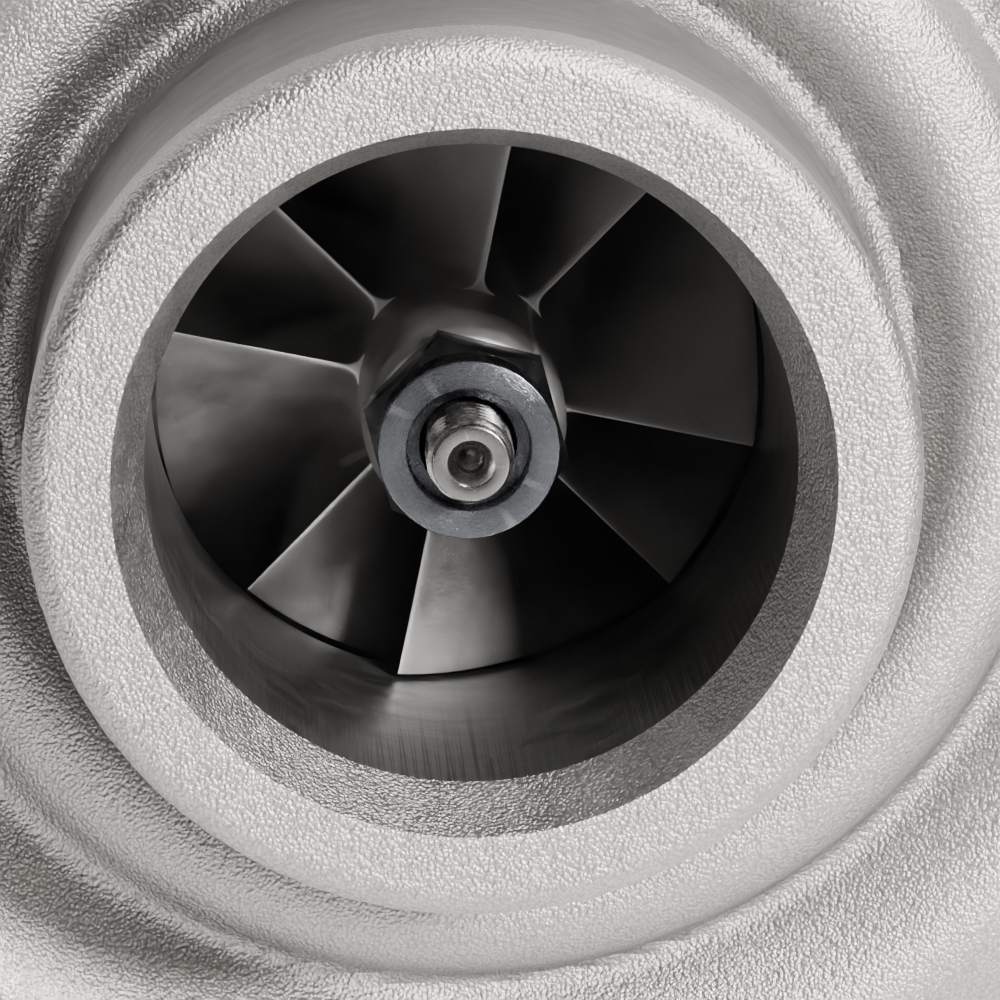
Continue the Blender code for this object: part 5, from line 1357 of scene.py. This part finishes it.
def wastegate():
    """Bush, arm on its spindle, flap with its ring, and the lever with its pin and clip."""
    spindle = SHAFT + SPINDLE
    piece(disc("bush", 3.12, 5.5, -61.0, -45.6, 0.4, spindle, "X"), "wastegate_bush")
    arm = disc("arm", 0.0, 3.0, -67.0, -32.0, 0.5, spindle, "X")
    tongue = extruded("tongue", hull([(PORT[0], SPINDLE.z, 3.6), (PORT[0], PORT[1], 6.4)], 64), 22.6, 25.4)
    join(arm, tongue)
    port = SHAFT + Vector((PORT[0], 0.0, PORT[1]))
    cut(arm, cylinder("arm_eye", 3.3, 20.0, 28.0, port, steps=48))
    piece(arm, "wastegate_arm", crisp=32.0, edge=0.3)
    profile = rounded([
        (0.0, 18.8), (10.2, 18.8), (10.6, 19.2), (10.6, 21.4), (9.8, 22.0), (5.0, 22.0), (3.0, 22.4),
        (3.0, 27.2), (4.2, 27.2), (4.2, 28.2), (3.2, 28.8), (0.0, 28.8),
    ], 0.3)
    piece(turned("flap", profile, port), "wastegate_flap")
    piece(disc("flap_ring", 3.3, 5.8, 25.7, 26.9, 0.25, port), "flap_washer")
    outline = hull([(SPINDLE.y, SPINDLE.z, 7.0), (PIN_Y, PIN_Z, 5.6)], 96)
    lever = extruded("lever", outline, LEVER_X - 1.5, LEVER_X + 1.5, "X")
    cut(lever, cylinder("lever_hole", 3.25, -70.0, -58.0, spindle, "X", 48))
    pin_at = SHAFT + Vector((0.0, PIN_Y, PIN_Z))
    cut(lever, cylinder("pin_hole", 3.15, -70.0, -58.0, pin_at, "X", 48))
    piece(lever, "wastegate_lever", crisp=32.0, edge=0.4)
    pin = rounded([
        (0.0, -76.0), (2.3, -76.0), (2.9, -75.6), (2.9, -75.1), (2.6, -75.1), (2.6, -74.2), (2.9, -74.2),
        (2.9, -61.4), (4.4, -61.4), (4.4, -60.4), (0.0, -60.4),
    ], 0.2, 2)
    piece(turned("pin", pin, pin_at, "X"), "lever_pin", crisp=28.0)
    clip = disc("clip", 3.05, 5.0, -75.0, -74.3, 0.12, pin_at, "X")
    outline = [(-1.6, 0.0), (1.6, 0.0), (1.6, 7.0), (-1.6, 7.0)]
    mouth = extruded("clip_mouth", outline, -76.0, -73.0, "X", pin_at)
    piece(cut(clip, mouth), "pin_clip", crisp=28.0)


# ---------------------------------------------------------------- actuator and boost line

ROD = Vector((-69.6, 0.0, -19.77))
CAN_R = 18.0
SEAM = -38.0
CAN_BACK = -23.5
CAN_FRONT = -50.0
STUD_SPREAD = 10.5


def can_stud_place(side):
    return SHAFT + ROD + Vector((0.0, 0.0, side * STUD_SPREAD))


def actuator():
    """Can and cap rolled together, the rod with its locknut and eye, the bracket and its nuts."""
    at = SHAFT + ROD
    body = rounded([
        (4.2, CAN_BACK), (CAN_R - 4.0, CAN_BACK), (CAN_R - 2.0, CAN_BACK - 2.0), (CAN_R - 1.0, SEAM + 1.5),
        (CAN_R + 1.6, SEAM + 1.5), (CAN_R + 1.6, SEAM + 0.7), (CAN_R - 1.9, SEAM + 0.7),
        (CAN_R - 2.8, CAN_BACK - 2.4), (CAN_R - 4.4, CAN_BACK - 0.8), (4.2, CAN_BACK - 0.8),
    ], 1.2, 5)
    can = turned("can", body, at, steps=128)
    for side in (-1, 1):
        spot = can_stud_place(side)
        join(can, threaded("can_stud", 2.4, CAN_BACK - 0.5, CAN_BACK + 8.5, 0.8, spot))
    piece(can, "actuator_can", crisp=32.0)
    cap = rounded([
        (3.4, CAN_FRONT), (CAN_R - 6.0, CAN_FRONT), (CAN_R - 2.5, CAN_FRONT + 2.5),
        (CAN_R - 1.0, SEAM - 1.4), (CAN_R + 1.6, SEAM - 1.4), (CAN_R + 1.6, SEAM - 0.6),
        (CAN_R - 1.9, SEAM - 0.6), (CAN_R - 3.4, CAN_FRONT + 3.0), (CAN_R - 6.4, CAN_FRONT + 0.9),
        (3.4, CAN_FRONT + 0.9),
    ], 1.2, 5)
    piece(turned("cap", cap, at, steps=128), "actuator_cap", crisp=32.0)
    tip = PIN_Y - 8.0
    shape = [(0.0, -46.1), (4.4, -46.1), (4.4, -44.7), (2.5, -44.7), (2.5, tip - 16.0), (0.0, tip - 16.0)]
    rod = turned("rod", rounded(shape, 0.2), at)
    join(rod, threaded("rod_thread", 2.5, tip - 17.0, tip, 0.8, at))
    piece(rod, "actuator_rod", crisp=28.0)
    nut = hexagon("locknut", 8.0, tip - 14.5, tip - 10.6, at)
    cut(nut, cylinder("locknut_hole", 2.75, tip - 20.0, tip - 5.0, at, steps=40))
    piece(nut, "rod_locknut", crisp=25.0, edge=0.12)
    eye_at = SHAFT + Vector((ROD.x, PIN_Y, ROD.z))
    eye = disc("eye", 0.0, 6.2, -2.4, 2.4, 0.5, eye_at, "X")
    neck = [
        (0.0, tip - 10.3), (4.2, tip - 10.3), (4.2, tip - 4.0), (3.4, PIN_Y - 3.0), (0.0, PIN_Y - 3.0),
    ]
    join(eye, turned("neck", rounded(neck, 0.4), at))
    cut(eye, bore("eye_hole", 3.35, -6.0, 2.6, 2.4, eye_at, "X", 64, 0.3))
    cut(eye, cylinder("eye_socket", 2.75, tip - 14.0, tip + 0.3, at, steps=40))
    piece(eye, "rod_end", crisp=32.0)
    bracket(at)
    for i, side in enumerate((-1, 1)):
        spot = can_stud_place(side)
        start = CAN_BACK + 3.1
        nut = hexagon(f"nut_{i}", 7.5, start, start + 4.0, spot)
        cut(nut, cylinder("nut_hole", 2.6, start - 2.0, start + 6.0, spot, steps=40))
        piece(nut, f"bracket_nut_{i + 1}", crisp=25.0, edge=0.12)


def bracket(at):
    """Pressed bracket: foot under two cover bolts, leg along the can, face for the can's studs."""
    made = ring_plate("bracket_plate", BRACKET_ANGLE)
    foot_y, face_y = depth(52.3), CAN_BACK + GAP
    inner, outer = polar(47.5, BRACKET_ANGLE), polar(50.5, BRACKET_ANGLE)
    across = Vector((-outer.z, 0.0, outer.x)).normalized() * 6.5
    corners = [inner - across, outer - across, outer + across, inner + across]
    join(made, extruded("leg", [(p.x, p.z) for p in corners], foot_y + 0.8, face_y + 2.4))
    near = polar(49.0, BRACKET_ANGLE)
    outline = hull([
        (near.x + 1.0, near.z + 7.0, 3.5), (near.x + 1.0, near.z - 7.0, 3.5),
        (ROD.x, ROD.z + STUD_SPREAD, 6.0), (ROD.x, ROD.z - STUD_SPREAD, 6.0),
    ], 64)
    join(made, extruded("face", outline, face_y, face_y + 2.5))
    cut(made, cylinder("rod_hole", 5.0, face_y - 3.0, face_y + 6.0, at, steps=56))
    for side in (-1, 1):
        spot = can_stud_place(side)
        cut(made, cylinder("stud_hole", 2.8, face_y - 3.0, face_y + 6.0, spot, steps=40))
    piece(made, "actuator_bracket", crisp=35.0, edge=0.35)


def nipple(name, root, face, tip, centre, axis):
    """Barbed hose nipple with a hexagonal collar."""
    way = 1.0 if tip > root else -1.0
    barbs = [(2.3, face + way * 1.6)]
    for k in range(3):
        start = face + way * (3.4 + 2.6 * k)
        barbs += [(2.25, start), (2.75, start + way * 0.3), (2.3, start + way * 2.2)]
    profile = [(1.4, root), (3.0, root), (3.0, face), (3.6, face), (3.6, face + way * 1.6)] + barbs + [
        (2.6, tip - way * 0.9), (2.1, tip), (1.4, tip)]
    made = turned(name, profile, centre, axis, 64)
    collar = hexagon(name + "_collar", 7.3, *sorted((face, face + way * 1.6)), centre, axis)
    cut(collar, cylinder("collar_hole", 2.6, -90.0, 90.0, centre, axis, 40))
    return join(made, collar)


def boost_line():
    """Hose from the can's nipple, down and round to the one on the scroll, with its clips."""
    at = SHAFT + ROD
    on_can = nipple("can_nipple", CAN_FRONT + 2.2, CAN_FRONT - GAP, CAN_FRONT - 12.0, at, "Y")
    piece(on_can, "actuator_nipple", crisp=26.0)
    tapping = SHAFT + Vector((0.0, NIPPLE_Y, 0.0))
    on_scroll = turn_piece(nipple("scroll_nipple", 56.2, 60.3, 72.5, tapping, "Z"), NIPPLE_ANGLE)
    piece(on_scroll, "cover_nipple", crisp=26.0)
    outward = polar(1.0, NIPPLE_ANGLE)
    end = Vector((0.0, NIPPLE_Y, 0.0)) + outward * 64.4
    start = Vector((ROD.x, CAN_FRONT - 3.8, ROD.z))
    route = smooth_route([
        start, start + Vector((0.0, -10.0, 0.0)), (-71.5, -74.5, -23.5), (-77.0, -79.5, -35.0),
        (-78.0, -78.5, -50.0), (-72.0, -76.5, -61.5), (-62.5, NIPPLE_Y - 0.4, -61.5),
        end + outward * 10.0, end,
    ])
    hose = tube("hose", route, 3.7, 32, 0.3)
    longer = [route[0] * 2 - route[1]] + route[1:-1] + [route[-1] * 2 - route[-2]]
    inner = tube("hose_inside", longer, 2.35, 24)
    piece(cut(hose, inner), "boost_hose", HOSE, crisp=40.0)
    piece(hose_clip("clip_1", CAN_FRONT - 9.5, at, "Y"), "hose_clip_1", crisp=30.0)
    piece(turn_piece(hose_clip("clip_2", 66.0, tapping, "Z"), NIPPLE_ANGLE), "hose_clip_2", crisp=30.0)


def hose_clip(name, low, centre, axis):
    """Spring band clip with rolled edges."""
    profile = [
        (3.75, low), (4.3, low), (4.5, low + 0.3), (4.3, low + 0.7), (4.25, low + 2.0),
        (4.3, low + 3.3), (4.5, low + 3.7), (4.3, low + 4.0), (3.75, low + 4.0),
    ]
    return turned(name, profile, centre, axis, 80)


# ---------------------------------------------------------------- pieces inside

def inner_pieces():
    """The CAD's own solids get their slot's finish, also those that stay hidden."""
    for node, obj in CAD.items():
        obj.data.materials[0] = FINISH[SLOT_OF[node]]


for step in (
    compressor_cover, compressor_wheel, compressor_nut, rotor_shaft, centre_housing, turbine_housing,
    turbine_wheel, vband, outlet_studs, clamps_and_bolts, wastegate, actuator, boost_line, inner_pieces,
):
    step()


# ---------------------------------------------------------------- studio

MOUTH = SHAFT * MM + Vector((0.0, MOUTH_Y * MM, 0.0))
WORLD_LIGHT = 0.035
WORLD_SEEN = 0.55
FLOOR_HALF = 2.5


def area_light(name, offset, size, power, colour=(1.0, 1.0, 1.0), spread=180.0):
    """Round soft box aimed at the mouth, offset from it in metres; its beam's spread is in degrees."""
    place = MOUTH + Vector(offset)
    lamp = bpy.data.lights.new(name, "AREA")
    lamp.shape = "DISK"
    lamp.size = size
    lamp.spread = math.radians(spread)
    lamp.energy = power
    lamp.color = colour
    obj = add_object(name, lamp)
    obj.location = place
    obj.rotation_euler = (MOUTH - place).to_track_quat("-Z", "Y").to_euler()


def studio():
    """Key from the upper right in front, smaller light from above, broad ones left and behind."""
    area_light("key", (0.52, -0.74, 0.42), 0.20, 3.1, (1.0, 0.985, 0.965), 60.0)
    area_light("top", (0.42, -0.22, 0.85), 0.30, 1.1, (1.0, 0.99, 0.98), 50.0)
    area_light("sides", (-0.5, 0.5, 1.1), 0.9, 2.0, (0.98, 0.99, 1.0))
    area_light("back", (0.4, 1.0, 0.5), 0.8, 5.0)
    surroundings()
    floor()


def surroundings():
    """Pale backdrop that the camera sees brighter than it lights the object."""
    world = bpy.data.worlds.new("studio")
    world.use_nodes = True
    sky = world.node_tree.nodes["Background"]
    sky.inputs["Color"].default_value = (0.9, 0.92, 0.95, 1.0)
    seen = world.node_tree.nodes.new("ShaderNodeLightPath")
    bright = world.node_tree.nodes.new("ShaderNodeMapRange")
    bright.inputs["To Min"].default_value = WORLD_LIGHT
    bright.inputs["To Max"].default_value = WORLD_SEEN
    world.node_tree.links.new(seen.outputs["Is Camera Ray"], bright.inputs["Value"])
    world.node_tree.links.new(bright.outputs[0], sky.inputs["Strength"])
    bpy.context.scene.world = world


def floor():
    low = CAD_BOX[0].z
    mesh = bpy.data.meshes.new("studio_floor")
    corners = [(x, y, low) for x, y in rectangle(FLOOR_HALF, FLOOR_HALF)]
    mesh.from_pydata(corners, [], [(0, 1, 2, 3)])
    plane = add_object("studio_floor", mesh)
    t = Tree("floor_paint")
    soft = t.noise(40.0, 3.0, 0.5)
    tone = t.mix(soft, shade((0.68, 0.675, 0.67)), shade((0.74, 0.735, 0.73)))
    mesh.materials.append(t.done(tone, t.swing(soft, 0.55, 0.65), 0.0, t.bump(t.noise(0.8), 0.2, 0.02)))


def camera():
    """About 14 degrees above the shaft's axis and slightly to the left, close on the compressor inlet."""
    towards = Vector((-0.0366, -0.9716, 0.2340))
    distance = 0.303
    lens = bpy.data.cameras.new("camera")
    lens.lens = 198.0
    lens.sensor_width = 36.0
    eye = add_object("camera", lens)
    eye.location = MOUTH + towards * distance
    aim = MOUTH + Vector((0.00136, 0.0, -0.00064))
    eye.rotation_euler = (aim - eye.location).to_track_quat("-Z", "Y").to_euler()
    lens.clip_start = 0.01
    bpy.context.scene.camera = eye


studio()
camera()
